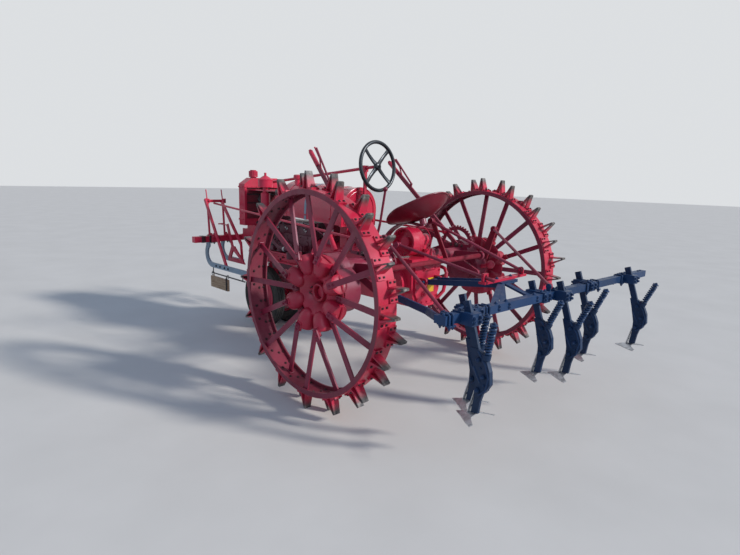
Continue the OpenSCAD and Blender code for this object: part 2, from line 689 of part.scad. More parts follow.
// Pan seat on a bent leaf spring
seat_x = -95;
seat_z = 1262;
seat_tilt = 22;
bowl_r = 300;
module pan_seat() {
    color(red) translate([seat_x, 0, seat_z]) rotate([0, seat_tilt, 0]) translate([0, 0, bowl_r])
        rotate_extrude($fn = 72) difference() {
            intersection() {
                circle(bowl_r, $fn = 96);
                translate([0, -bowl_r]) square([seat_r, bowl_r]);
            }
            circle(bowl_r - 5, $fn = 96);
            translate([0, -bowl_r + 112]) square(bowl_r);
        }
}
module seat_spring() {
    arc = [10, 900];
    arc_r = 330;
    head_x = seat_x + 20;
    color(dark_red) {
        translate([0, 30, 0]) rotate([90, 0, 0]) linear_extrude(60) difference() {
            translate(arc) circle(arc_r, $fn = 96);
            translate(arc) circle(arc_r - 12, $fn = 96);
            translate([-500, 0]) square([1000, case_top + seat_gap]);
            translate([-500, 0]) square([500 + head_x - 20, 1400]);
        }
        translate([seat_x, 0, seat_z]) rotate([0, seat_tilt, 0]) translate([0, 0, -42]) cylinder(h = 42 - seat_gap, r = 26);
    }
}

// Hand levers: gear lever on the case, and the two tall lift levers with their toothed sectors
// Columns: side plane y, pivot x and z, top x and z
lever_rows = [[450, 80, 1010, 720, 1760], [-395, -150, 1045, 640, 1710]];
module sector(x, z, y) {
    foot = tube_z + tube_r + seat_gap;
    translate([x, y + 6, z]) rotate([90, 0, 0]) linear_extrude(12) {
        difference() {
            union() {
                circle(150, $fn = 72);
                for (a = [10 : 10 : 170]) rotate(a) translate([146, -5]) square([14, 10]);
            }
            circle(122, $fn = 72);
            translate([-200, -400]) square([400, 400]);
        }
        translate([-138, -12]) square([276, 24]);
    }
    side_plate([[x - 60, z - 10], [x + 140, z - 10], [tube_x + 45, foot], [tube_x - 45, foot]], y, 12);
}
module hand_levers() {
    gate = case_top + 70 + seat_gap;
    color(dark_red) {
        for (l = lever_rows) {
            p = [l[1], l[0], l[2]];
            q = [l[3], l[0], l[4]];
            u = (q - p) / norm(q - p);
            sector(l[1], l[2], l[0]);
            flat_bar(p, q, 16, 34);
            rod(q - 330 * u + [-26, 0, 22], q - 20 * u + [-62, 0, 40], 8);
            flat_bar(q - 345 * u, q - 315 * u + [-30, 0, 26], 10, 20);
        }
        translate([lever_x, 0, gate]) cylinder(h = 20, r = 26);
        rod([lever_x, 0, gate + 10], [355, 0, 1190], 11);
        rod([355, 0, 1188], [306, 0, 1470], 10);
        translate([306, 0, 1478]) sphere(20);
    }
}

// Rock shaft with its four arms, which carry the rods of the rear cultivator
outer_arm_y = 655;
lift_pin_r = 9;
outer_eye = [-340, 1180];
inner_eye = [-94, 1246];
inner_arm_y = 132;
module rock_shaft() {
    color(dark_red) {
        translate([rock_x, -outer_arm_y - 8, rock_z]) along_y() cylinder(h = 2 * outer_arm_y + 16, r = rock_r);
        for (side = [1, -1]) scale_y(side) {
            side_plate([[rock_x - 34, rock_z - 30], [rock_x + 34, rock_z - 30], [outer_eye[0] + 24, outer_eye[1] + 18],
                [outer_eye[0] - 24, outer_eye[1] + 18]], outer_arm_y, 14);
            translate([outer_eye[0], outer_arm_y - 36, outer_eye[1]]) along_y() cylinder(h = 72, r = lift_pin_r);
        }
        link([rock_x, rock_z], inner_eye, 20, -inner_arm_y, 12);
        translate([inner_eye[0], -inner_arm_y, inner_eye[1]]) along_y() cylinder(h = 38, r = lift_pin_r);
    }
}

// The rear cultivator is drawn with its bar along Y and then swung about the tractor's middle line
module swung() {
    translate([-swing_x, 0, 0]) rotate([0, 0, -bar_swing]) translate([swing_x, 0, 0]) children();
}
half_bar = bar_side / 2;
swing_x = 830;
// Place of a point of the tool bar, s along it and ahead and up from its middle line
function on_bar(s, ahead, up) = [
    -swing_x + (-bar_x + swing_x + ahead) * cos(bar_swing) + s * sin(bar_swing),
    -(-bar_x + swing_x + ahead) * sin(bar_swing) + s * cos(bar_swing), bar_z + up];
foot_left = on_bar(bar_left - 90, half_bar + 34, 12);
foot_right = on_bar(-95, 0, half_bar + 34);
stay_foot_left = [-swing_x, 235, 946];
stay_foot_right = [-swing_x, -215, 952];
// Ears that hold the rods' feet: distance from the rod's middle plane, and thickness
ear_off = 9;
rod_ear_t = 10;
cross_z = 905;
cross_half = 270;
hitch_rows = [-160, 0, 160];
hitch_r = 11;
stay_dir = atan2(stay_foot_left[0] - stay_eye[0], stay_foot_left[2] - stay_eye[1]);
module bar_body(grow) {
    swung() translate([-bar_x - half_bar - grow, -bar_right - grow, bar_z - half_bar - grow])
        cube([bar_side + 2 * grow, bar_left + bar_right + 2 * grow, bar_side + 2 * grow]);
}
module tool_bar() {
    color(slate_blue) {
        bar_body(0);
        rod_ears();
    }
}

// Drag frame: two centre bars from the lift pivot, an upright bracket, and the bent left bar
plate_t = 20;
module drag_frame() {
    plate = [-swing_x, 0, cross_z - seat_gap - plate_t / 2];
    color(slate_blue) {
        difference() {
            union() {
                for (y = hinge_ears) {
                    eye_y = y - sign(y) * (ear_t + 4);
                    translate([-hinge_x, eye_y - ear_t / 2, hinge_z]) along_y() cylinder(h = ear_t, r = 26);
                    flat_bar([-hinge_x - 12, eye_y, hinge_z], plate + [0, eye_y, -16], ear_t, 40);
                }
                translate(plate - [50, 105, plate_t / 2]) cube([100, 210, plate_t]);
            }
            translate(plate - [0, 0, plate_t]) cylinder(h = 2 * plate_t, r = hitch_r);
            translate([-hinge_x, -120, hinge_z]) along_y() cylinder(h = 240, r = hinge_pin_r - 2);
        }
        translate([-hinge_x, -120, hinge_z]) along_y() cylinder(h = 240, r = hinge_pin_r);
        difference() {
            for (b = braces) flat_bar(plate + [-20, b[1], 0], on_bar(b[0], half_bar - 8, 6), 40, 14);
            bar_body(seat_gap);
        }
        difference() {
            union() {
                translate([-hinge_x, carrier_y - 40, hinge_z]) along_y() cylinder(h = 20, r = 26);
                flat_bar([-hinge_x - 16, carrier_y - 30, hinge_z], [-760, carrier_y + 130, 790], 16, 44);
                flat_bar([-750, carrier_y + 128, 790], on_bar(bar_left - 12, half_bar - 8, -4), 16, 44);
                translate(on_bar(bar_left - 30, half_bar + seat_gap, -24)) cube([30, 30, 44]);
            }
            translate([-hinge_x, carrier_y - 60, hinge_z]) along_y() cylinder(h = 60, r = hinge_pin_r + run_gap);
            bar_body(seat_gap);
        }
    }
}
// Columns: place of the foot along the bar, place of the upper end on the plate
braces = [[490, 60], [390, 60], [85, 40]];

module cross_bar() {
    color(red) difference() {
        union() {
            translate([-swing_x - 25, -cross_half, cross_z]) cube([50, 2 * cross_half, 16]);
            translate(stay_foot_right - [0, ear_off + 3 + rod_ear_t, 0]) along_y() cylinder(h = rod_ear_t, r = 20);
            translate([-swing_x - 20, stay_foot_right[1] - ear_off - 3 - rod_ear_t, cross_z])
                cube([40, rod_ear_t, stay_foot_right[2] - cross_z]);
            translate(stay_foot_right - [0, ear_off + 4, 0]) along_y() cylinder(h = 2 * ear_off + 4, r = lift_pin_r);
            translate([stay_foot_left[0] - 8, stay_foot_left[1] - 28, cross_z]) cube([16, 56, stay_foot_left[2] - cross_z + 28]);
        }
        for (y = hitch_rows) translate([-swing_x, y, cross_z - 1]) cylinder(h = 18, r = hitch_r);
        rotate_at(stay_foot_left, stay_dir) translate([0, 0, -40]) cylinder(h = 80, r = 18);
    }
}
module rotate_at(p, a) { translate(p) rotate([0, a, 0]) children(); }

// Shank rows along the bar. Columns: place along the bar, 1 for ahead of the bar or -1 for behind it,
// and the lean of the trip spring
shank_rows = [[800, -1, 10], [690, 1, 8], [-20, 1, 24], [-165, -1, 24], [-645, 1, 24], [-1210, -1, 24]];
shank_off = half_bar + shank_w / 2 + 14;
shank_lean = 19;
clamp_wall = 9;
clamp_half = 38;
module at_shank(row) {
    swung() translate([-bar_x + row[1] * shank_off, row[0], bar_z]) children();
}
module shank_bar(up, down, grow) {
    wide = shank_w + 2 * grow;
    thick = shank_t + 2 * grow;
    rotate([0, shank_lean, 0]) translate([-wide / 2, -thick / 2, -down]) cube([wide, thick, up + down]);
}
module shank_clamps() {
    side_len = 2 * half_bar + 14 + shank_w + 22;
    high = half_bar + clamp_wall;
    color(slate_blue) for (row = shank_rows) difference() {
        swung() translate([-bar_x, row[0], bar_z]) rotate([0, 0, row[1] > 0 ? 0 : 180]) {
            translate([-high, -clamp_half, -high]) cube([side_len + clamp_wall, 2 * clamp_half, 2 * high]);
            for (y = [-clamp_half + 13, clamp_half - 13], z = [-half_bar / 2, half_bar / 2])
                translate([-high - 16, y, z]) along_x() cylinder(h = side_len + clamp_wall + 32, r = 8);
        }
        bar_body(seat_gap);
        at_shank(row) shank_bar(2 * high, 2 * high, seat_gap);
    }
}
// Corner where the foot's front edge ends, and the lean of that edge
foot_end = [-50, -512];
foot_lean = 9;
foot_edge = 104;
spring_seat = [-122, -166];
spring_len = 165;
module shanks() {
    edge_top = foot_end + foot_edge * [-sin(foot_lean), cos(foot_lean)];
    color(slate_blue) for (row = shank_rows) at_shank(row) {
        shank_bar(95, 250, 0);
        rotate([90, 0, 0]) translate([0, 0, -shank_t / 2 - 5]) linear_extrude(shank_t + 10) polygon([
            [-22, -150], [-40, -215], [-66, -330], edge_top, [-82, edge_top[1] - 12], [-132, -376], [-162, -325],
            [-155, -255], [-136, -210], [-98, -165], [-70, -150]]);
        rotate([90, 0, 0]) translate([0, 0, -shank_t / 2]) linear_extrude(shank_t) polygon([
            edge_top + [0, 30], edge_top, foot_end, foot_end + [-44, 4], [-104, -436], [-120, -380]]);
        for (p = [[-82, -205], [-118, -290], [-88, -372]])
            translate([p[0], -shank_t / 2 - 15, p[1]]) along_y() cylinder(h = shank_t + 30, r = 15);
        translate([spring_seat[0], 0, spring_seat[1]]) rotate([0, -row[2], 0]) translate([0, 0, -30])
            cylinder(h = 30, r = spring_r + 3);
    }
}
module trip_springs() {
    step = spring_len / (2 * spring_turns);
    color(slate_blue) for (row = shank_rows) at_shank(row)
        translate([spring_seat[0], 0, spring_seat[1]]) rotate([0, -row[2], 0]) translate([0, 0, seat_gap])
            rotate_extrude() polygon(concat([[0, 0]],
                [for (i = [0 : 2 * spring_turns]) [i % 2 == 0 ? spring_r : spring_r - 7, i * step]], [[0, spring_len]]));
}
// Pointed sweeps: two swept wings and a shin plate on the foot's front edge
sweep_tip = [8, -545];
sweep_tilt = 12;
module shovels() {
    color(silver) for (row = shank_rows) at_shank(row) {
        translate([sweep_tip[0], 0, sweep_tip[1]]) rotate([0, sweep_tilt, 0]) linear_extrude(7)
            polygon([[0, 0], [-112, 92], [-138, 84], [-58, 15], [-58, -15], [-138, -84], [-112, -92]]);
        translate([foot_end[0], 0, foot_end[1]]) rotate([0, -foot_lean, 0])
            translate([seat_gap, -18, -22]) cube([8, 36, 100]);
    }
}

// Rods: pinned on the tool bar or cross bar, with an eye round the arm's pin
module lift_rod(p, q, foot_w) {
    d = q - p;
    a = atan2(d[0], d[2]);
    color(dark_red) difference() {
        union() {
            rod(p, q, 11);
            translate(q + [0, -8, 0]) along_y() cylinder(h = 16, r = lift_pin_r + 6 + 9);
            translate(p + [0, -foot_w / 2, 0]) along_y() cylinder(h = foot_w, r = 19);
        }
        translate(q + [0, -20, 0]) along_y() cylinder(h = 40, r = lift_pin_r + eye_slack);
        translate(p + [0, -40, 0]) along_y() cylinder(h = 80, r = lift_pin_r + run_gap);
    }
}
eye_slack = 6;
module lift_rod_left() { lift_rod(foot_left, [outer_eye[0], outer_arm_y + 24, outer_eye[1]], 14); }
module lift_rod_right() { lift_rod(foot_right, [outer_eye[0], -outer_arm_y + 24, outer_eye[1]], 14); }
module stay_rod_right() { lift_rod(stay_foot_right, [inner_eye[0], -inner_arm_y + 26, inner_eye[1]], 14); }
// The left stay rod is pinned at the tractor and slides through the ear on the cross bar
module stay_rod_left() {
    p = [stay_eye[0], stay_y, stay_eye[1]];
    q = [stay_foot_left[0], stay_foot_left[1], stay_foot_left[2]];
    u = (q - p) / norm(q - p);
    color(dark_red) difference() {
        union() {
            rod(p, q + 70 * u, 11);
            translate(p - [0, 7, 0]) along_y() cylinder(h = 14, r = 19);
        }
        translate(p - [0, 40, 0]) along_y() cylinder(h = 80, r = lift_pin_r + run_gap);
    }
}
// Ears on the tool bar with the pins that hold the feet of the lift rods
module rod_ears() {
    for (p = [foot_left, foot_right]) {
        translate(p + [0, ear_off, 0]) along_y() cylinder(h = rod_ear_t, r = 18);
        translate(p + [0, -ear_off, 0]) along_y() cylinder(h = 2 * ear_off + 1, r = lift_pin_r);
    }
    translate(foot_left + [-37, ear_off, -14]) cube([37, rod_ear_t, 28]);
    translate(foot_right + [-14, ear_off, -37]) cube([28, rod_ear_t, 37]);
}

// Front rig: square cross pipe with carrying plates, and on each side two uprights, a top bar and prongs
outer_y = 500;
inner_y = 320;
rig_top = 1284;
bar_w = 16;
beam_t = 18;
beam_h = 50;
outer_bar_y = outer_y - beam_t / 2 - bar_w / 2 - seat_gap;
inner_bar_y = inner_y - beam_t / 2 - bar_w / 2 - seat_gap;
upright_x = pipe_x + 50;
module top_bar(grow) {
    translate([upright_x - 18 - grow, inner_bar_y - 40 - grow, rig_top - 14 - grow])
        cube([36 + 2 * grow, outer_bar_y - bar_w / 2 - seat_gap - inner_bar_y + 40 + 2 * grow, 28 + 2 * grow]);
}
module front_frame() {
    half = pipe_side / 2;
    color(red) {
        translate([pipe_x - half, -pipe_half, pipe_z - half]) cube([pipe_side, 2 * pipe_half, pipe_side]);
        for (side = [1, -1]) scale_y(side) {
            side_plate([[post_x + 45 + seat_gap, 905], [pipe_x - half + 1, pipe_z - 20], [pipe_x - half + 1, pipe_z + 20],
                [post_x + 45 + seat_gap, 990]], 100, 16);
            top_bar(0);
            for (y = [inner_bar_y - 22, outer_bar_y - 26]) {
                rod([pipe_x + 20, y, pipe_z], [upright_x, y, rig_top], 11);
                rod([upright_x, y, rig_top], [upright_x + 26, y, rig_top + 118], 6);
            }
        }
    }
}
// Curved gang beams that hang from the pipe and run rearwards beside the front wheels
arc_x = pipe_x - 110;
arc_r = 140;
module gang_beam(y, bottom, rear_x) {
    arc_z = bottom + arc_r;
    pipe_bottom = pipe_z - pipe_side / 2 - seat_gap;
    translate([0, y + beam_t / 2, 0]) rotate([90, 0, 0]) linear_extrude(beam_t) {
        difference() {
            translate([arc_x, arc_z]) circle(arc_r, $fn = 96);
            translate([arc_x, arc_z]) circle(arc_r - beam_h, $fn = 96);
            translate([arc_x - 200, arc_z - 200]) square([200, 400]);
            translate([arc_x - 50, arc_z + 60]) square([100, 200]);
            translate([arc_x - 50, pipe_bottom]) square([300, 200]);
        }
        translate([arc_x + 55, arc_z + 64]) square([60, pipe_bottom - arc_z - 64]);
        translate([rear_x, bottom]) square([arc_x - rear_x + 1, beam_h]);
    }
}
outer_bottom = 605;
inner_bottom = 660;
module gang_beams() {
    color([0.35, 0.42, 0.5]) for (side = [1, -1]) scale_y(side) {
        gang_beam(outer_y, outer_bottom, pipe_x - 880);
        gang_beam(inner_y, inner_bottom, pipe_x - 420);
    }
}
// Slanted bars between the top bar and the beams
module gang_bars() {
    color(red) for (side = [1, -1]) scale_y(side) {
        flat_bar([upright_x, outer_bar_y, rig_top + 20], [pipe_x - 370, outer_bar_y, outer_bottom + 25], bar_w, 34);
        difference() {
            flat_bar([upright_x - 12, inner_bar_y, rig_top + 4], [pipe_x - 350, inner_bar_y, inner_bottom + 200], bar_w, 34);
            top_bar(seat_gap);
        }
        flat_bar([pipe_x - 346, inner_bar_y, inner_bottom + 214], [pipe_x - 370, inner_bar_y, inner_bottom + 8],
            bar_w - 3, 30);
    }
}
// Triangular brackets on the inner beams, with the hand lever's lower arm and its thin link
module gang_brackets() {
    y = inner_y + beam_t / 2 + seat_gap + 7;
    color(red) for (side = [1, -1]) scale_y(side) {
        translate([pipe_x, y + 7, 0]) rotate([90, 0, 0]) linear_extrude(14) difference() {
            polygon([[-480, 664], [-150, 664], [-150, 700], [-220, 830], [-280, 830]]);
            polygon([[-390, 706], [-205, 706], [-250, 785]]);
        }
        flat_bar([pipe_x - 250, y, 790], [pipe_x - 138, y, 1050], 11, 36);
        rod([pipe_x - 140, y, 1040], [pipe_x + 34, y, 1040], 5);
        rod([pipe_x + 34, inner_bar_y - 22 + 11 + seat_gap, 1040], [pipe_x + 34, y + 9, 1040], 7);
    }
}
module front_rods() {
    // Columns: lever's row, height at which the rod meets the lever
    color(red) for (r = [[0, 1105], [1, 1140]]) {
        l = lever_rows[r[0]];
        side = sign(l[0]);
        x = l[1] + (r[1] - l[2]) * (l[3] - l[1]) / (l[4] - l[2]);
        rod_y = l[0] - side * (8 + 16 + seat_gap);
        rod([upright_x, side * 380, rig_top - 14 - 10.5 - seat_gap], [x, rod_y, r[1]], 10);
        translate([x, rod_y - 16, r[1]]) along_y() cylinder(h = 32, r = 14);
    }
}
// Blank board that hangs from a thin rail under the outer left beam
board_rail_z = 545;
module board_rail() {
    color(black) {
        rod([pipe_x - 740, outer_y, board_rail_z], [pipe_x - 100, outer_y, board_rail_z], 7);
        for (x = [-700, -120]) translate([pipe_x + x, outer_y, board_rail_z])
            cylinder(h = outer_bottom - seat_gap - board_rail_z, r = 5);
    }
}
module hanging_board() {
    top = 512;
    color([0.45, 0.33, 0.2]) {
        translate([pipe_x - 425, outer_y - 11, 396]) cube([345, 22, top - 396]);
        for (x = [-390, -130]) translate([pipe_x + x, outer_y, top - 1])
            cylinder(h = board_rail_z - 7 - seat_gap - top + 1, r = 5);
    }
}

rear_rim(1);  // wheel_rim_left
rear_spokes(1);  // wheel_spokes_left
rear_hub(1);  // wheel_hub_left
rear_rim(-1);  // wheel_rim_right
rear_spokes(-1);  // wheel_spokes_right
rear_hub(-1);  // wheel_hub_right
steer_yoke();
front_tyre(1);  // front_tyre_left
front_disc(1);  // front_disc_left
front_tyre(-1);  // front_tyre_right
front_disc(-1);  // front_disc_right
side_rails();
front_bolster();
radiator();
fan();
engine_block();
manifold();
air_cleaner();
fuel_tank();
clutch_housing();
transmission_case();
axle_housings();
pulley_bracket();
belt_pulley();
steering_post();
steering_shaft();
steering_wheel();
pan_seat();
seat_spring();
hand_levers();
rock_shaft();
front_frame();
gang_beams();
gang_bars();
gang_brackets();
front_rods();
board_rail();
hanging_board();
tool_bar();
drag_frame();
cross_bar();
shank_clamps();
shanks();
trip_springs();
shovels();
lift_rod_left();
lift_rod_right();
stay_rod_left();
stay_rod_right();
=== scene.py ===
import json
from itertools import product
from math import copysign, cos, exp, hypot, pi, radians, sin, sqrt, tan, tau
import bmesh
import bpy
from mathutils import Matrix, Vector


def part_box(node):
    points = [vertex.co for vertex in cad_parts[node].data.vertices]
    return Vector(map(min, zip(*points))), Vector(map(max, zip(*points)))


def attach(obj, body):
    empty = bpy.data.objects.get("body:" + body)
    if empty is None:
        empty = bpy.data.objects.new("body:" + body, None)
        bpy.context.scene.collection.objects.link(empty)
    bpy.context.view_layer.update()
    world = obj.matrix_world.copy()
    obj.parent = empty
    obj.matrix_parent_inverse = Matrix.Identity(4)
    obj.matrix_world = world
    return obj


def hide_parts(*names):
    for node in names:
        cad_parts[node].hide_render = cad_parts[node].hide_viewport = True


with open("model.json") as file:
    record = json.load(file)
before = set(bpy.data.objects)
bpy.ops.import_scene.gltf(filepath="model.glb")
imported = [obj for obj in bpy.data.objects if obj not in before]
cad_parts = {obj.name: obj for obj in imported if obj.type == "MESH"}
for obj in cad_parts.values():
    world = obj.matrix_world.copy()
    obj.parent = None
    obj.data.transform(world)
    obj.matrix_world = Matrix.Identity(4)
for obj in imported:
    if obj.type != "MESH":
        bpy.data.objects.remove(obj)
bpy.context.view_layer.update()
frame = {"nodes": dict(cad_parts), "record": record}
nodes = frame["nodes"]

# Colours, as linear values of the photograph's paint in plain light; the darker reds marked as painted shade
# stand in for shade
RED = (0.50, 0.013, 0.050)
DEEP_RED = (0.21, 0.013, 0.040)
# Darker red for the rim band's inner faces and flanges: painted shade
PAINTED_SHADE_RED = (0.185, 0.021, 0.042)
# Dark red for the engine and its fittings: painted shade where the engine sits in shadow
ENGINE_SHADE_RED = (0.090, 0.013, 0.024)
DARK_NUT = (0.05, 0.012, 0.016)
SLATE = (0.004, 0.026, 0.090)
GREY_BLUE = (0.20, 0.28, 0.36)
BARE_STEEL = (0.50, 0.52, 0.55)
RUST = (0.10, 0.045, 0.025)
BLACK = (0.010, 0.011, 0.014)
CORE_BLACK = (0.022, 0.018, 0.020)
RUBBER = (0.018, 0.018, 0.019)
RUBBER_DUST = (0.05, 0.043, 0.036)
EARTH = (0.20, 0.13, 0.085)
CHALK = (0.5, 0.45, 0.5)
YELLOW = (0.80, 0.48, 0.02)
MID_GREY = (0.5, 0.5, 0.5)
WORN_IRON = [(0.35, (0.030, 0.024, 0.022)), (0.55, (0.10, 0.085, 0.078)), (0.75, (0.26, 0.24, 0.23))]
BOARD = [(0.3, (0.16, 0.09, 0.05)), (0.5, (0.36, 0.25, 0.16)), (0.72, (0.50, 0.40, 0.30))]
FLOOR = [(0.3, (0.58, 0.58, 0.57)), (0.7, (0.62, 0.62, 0.61))]
# Gloss of the paints, cooler than a white one
PAINT_SPECULAR = 0.45
PAINT_TINT = (0.62, 0.78, 1.0)


def mm(*rows):
    """Rows of a table in millimetres, as metres"""
    return tuple(tuple(v / 1000 for v in row) for row in rows)


# The driving sizes of the CAD model that the pieces below repeat, in metres
AXLE_Z = 0.79686
WHEEL_Y = 0.993
RIM_R = 0.686
RIM_T = 0.010
RIM_HALF_W = 0.076
RIM_LIP = 0.026
LUG_ROW_Y = 0.040
SPOKES = 16
SPOKE_T = 0.012
HUB_RING_R = 0.240
SPOKE_END_R = 0.6754
# Columns: place across the wheel of a row's lower faces, at the hub and at the rim
SPOKE_Y = ((0.046, -0.016), (-0.038, 0.046))
# The photograph's lugs, which are shorter and more than the CAD model's
LUGS = 32
LUG_H = 0.1105
LUG_TOP_R = RIM_R + LUG_H
LEFT, RIGHT = 1, -1
SIDES = {"left": LEFT, "right": RIGHT}
# Directions in the tractor's frame
UP = Vector((0, 0, 1))
DOWN = -UP
BACK = Vector((-1, 0, 0))
OUTWARD = Vector((0, 1, 0))


# Materials

def new_material(name):
    """Empty node material and its shader"""
    m = bpy.data.materials.new(name)
    m.use_nodes = True
    return m, m.node_tree, m.node_tree.nodes["Principled BSDF"]


def feed(tree, node, inputs):
    """Fill a node's inputs: a socket is linked, a number or a colour is set"""
    for name, value in inputs.items():
        socket = node.inputs[name]
        if isinstance(value, bpy.types.NodeSocket):
            tree.links.new(value, socket)
        elif socket.type == "RGBA":
            socket.default_value = (*value, 1)
        else:
            socket.default_value = value
    return node


def add(tree, kind, inputs, **settings):
    """New shader node with its settings and its inputs"""
    node = tree.nodes.new(f"ShaderNode{kind}")
    for name, value in settings.items():
        setattr(node, name, value)
    return feed(tree, node, inputs)


def object_point(tree, stretch=(1, 1, 1), shift=(0, 0, 0)):
    """Object coordinates, which are the tractor's frame"""
    point = add(tree, "TexCoord", {}).outputs["Object"]
    return add(tree, "Mapping", {"Scale": stretch, "Location": shift, "Vector": point}).outputs["Vector"]


def noise(tree, scale, detail=4.0, rough=0.55, stretch=(1, 1, 1)):
    """Noise from 0 to 1 in the tractor's frame; the scale is about its waves to a metre"""
    inputs = {"Scale": scale, "Detail": detail, "Roughness": rough, "Vector": object_point(tree, stretch)}
    return add(tree, "TexNoise", inputs).outputs["Fac"]


def ramp(tree, source, stops):
    """Colour ramp from a list of (place, colour)"""
    r = add(tree, "ValToRGB", {"Fac": source})
    e = r.color_ramp.elements
    while len(e) < len(stops):
        e.new(0.5)
    for item, (place, colour) in zip(e, stops):
        item.position = place
        item.color = (*colour, 1)
    return r.outputs["Color"]


def mix(tree, fac, a, b):
    """Mix of two colours; each is a socket or a plain colour"""
    return add(tree, "Mix", {"Factor": fac, "A": a, "B": b}, data_type="RGBA").outputs["Result"]


def maths(tree, kind, a, b):
    """Arithmetic on sockets or plain numbers"""
    return add(tree, "Math", {0: a, 1: b}, operation=kind).outputs[0]


def bump(tree, height, strength, distance):
    """Surface normal that a height roughens"""
    inputs = {"Strength": strength, "Distance": distance, "Height": height}
    return add(tree, "Bump", inputs).outputs["Normal"]


def grey(low, high):
    """Two grey stops for a mask"""
    return [(low, (0, 0, 0)), (high, (1, 1, 1))]


def scaled(colour, k):
    return tuple(min(1.0, c * k) for c in colour)


def mixed(a, b, k):
    return tuple(x + (y - x) * k for x, y in zip(a, b))


def lug_tip_mask(tree):
    """White on the worn outer ends of the lugs: distance from the rear axle in X and Z"""
    point = object_point(tree, (1, 0, 1), (0, 0, -AXLE_Z))
    distance = add(tree, "VectorMath", {0: point}, operation="LENGTH").outputs["Value"]
    ragged = maths(tree, "MULTIPLY", noise(tree, 60.0), 0.02)
    reach = maths(tree, "ADD", distance, ragged)
    ends = {"From Min": LUG_TOP_R - 0.060, "From Max": LUG_TOP_R - 0.010, "Value": reach}
    return add(tree, "MapRange", ends).outputs["Result"]


def paint(name, colour, gloss, coat, cast, dust, chips=0.0, worn_tips=False):
    """Sprayed paint on iron: tone drift, dust in broad patches, casting grain and worn chips"""
    m, tree, shader = new_material(name)
    tones = [(0.3, scaled(colour, 0.74)), (0.52, colour), (0.75, scaled(colour, 1.2))]
    drift = ramp(tree, noise(tree, 3.2, 5), tones)
    dusty = ramp(tree, noise(tree, 9.0, 6, 0.65), grey(0.5, 0.85))
    base = mix(tree, maths(tree, "MULTIPLY", dusty, dust), drift, mixed(colour, EARTH, 0.7))
    faded = ramp(tree, noise(tree, 26.0, 6, 0.7), grey(0.55, 0.8))
    faded_tone = scaled(mixed(colour, CHALK, 0.12), 0.8)
    base = mix(tree, maths(tree, "MULTIPLY", faded, dust * 0.8), base, faded_tone)
    if chips:
        worn = ramp(tree, noise(tree, 42.0, 6, 0.7), grey(0.74 - chips, 0.78 - chips))
        base = mix(tree, worn, base, BARE_STEEL)
    rough = ramp(tree, noise(tree, 14.0), [(0.3, (gloss * 0.8,) * 3), (0.7, (min(1, gloss * 1.5),) * 3)])
    if worn_tips:
        tips = lug_tip_mask(tree)
        base = mix(tree, tips, base, ramp(tree, noise(tree, 30.0, 5), WORN_IRON))
        rough = mix(tree, tips, rough, MID_GREY)
    feed(tree, shader, {"Base Color": base, "Roughness": rough, "Specular IOR Level": PAINT_SPECULAR,
                        "Specular Tint": PAINT_TINT, "Coat Weight": coat, "Coat Roughness": 0.25,
                        "Normal": bump(tree, noise(tree, 160.0, 3), cast, 0.0006)})
    return m


def bare_metal(name, colour):
    """Scoured steel: brushed streaks and a little rust"""
    m, tree, shader = new_material(name)
    streak = noise(tree, 26.0, 5, 0.6, (1, 1, 0.15))
    base = ramp(tree, streak, [(0.3, scaled(colour, 0.6)), (0.55, colour), (0.8, scaled(colour, 1.25))])
    rusty = ramp(tree, noise(tree, 17.0, 6, 0.7), grey(0.64, 0.74))
    feed(tree, shader, {"Base Color": mix(tree, rusty, base, RUST), "Metallic": 0.7, "Roughness": 0.34,
                        "Normal": bump(tree, streak, 0.3, 0.0005)})
    return m


def rubber(name):
    """Old tyre with dust in its grain"""
    m, tree, shader = new_material(name)
    dusty = ramp(tree, noise(tree, 11.0, 6, 0.6), grey(0.45, 0.8))
    feed(tree, shader, {"Base Color": mix(tree, dusty, RUBBER, RUBBER_DUST), "Roughness": 0.72,
                        "Normal": bump(tree, noise(tree, 220.0, 2), 0.3, 0.0006)})
    return m


def wood(name):
    """Weathered board with grain along its length"""
    m, tree, shader = new_material(name)
    grain = noise(tree, 9.0, 8, 0.7, (1, 6, 14))
    feed(tree, shader, {"Base Color": ramp(tree, grain, BOARD), "Roughness": 0.8,
                        "Normal": bump(tree, grain, 0.5, 0.002)})
    return m


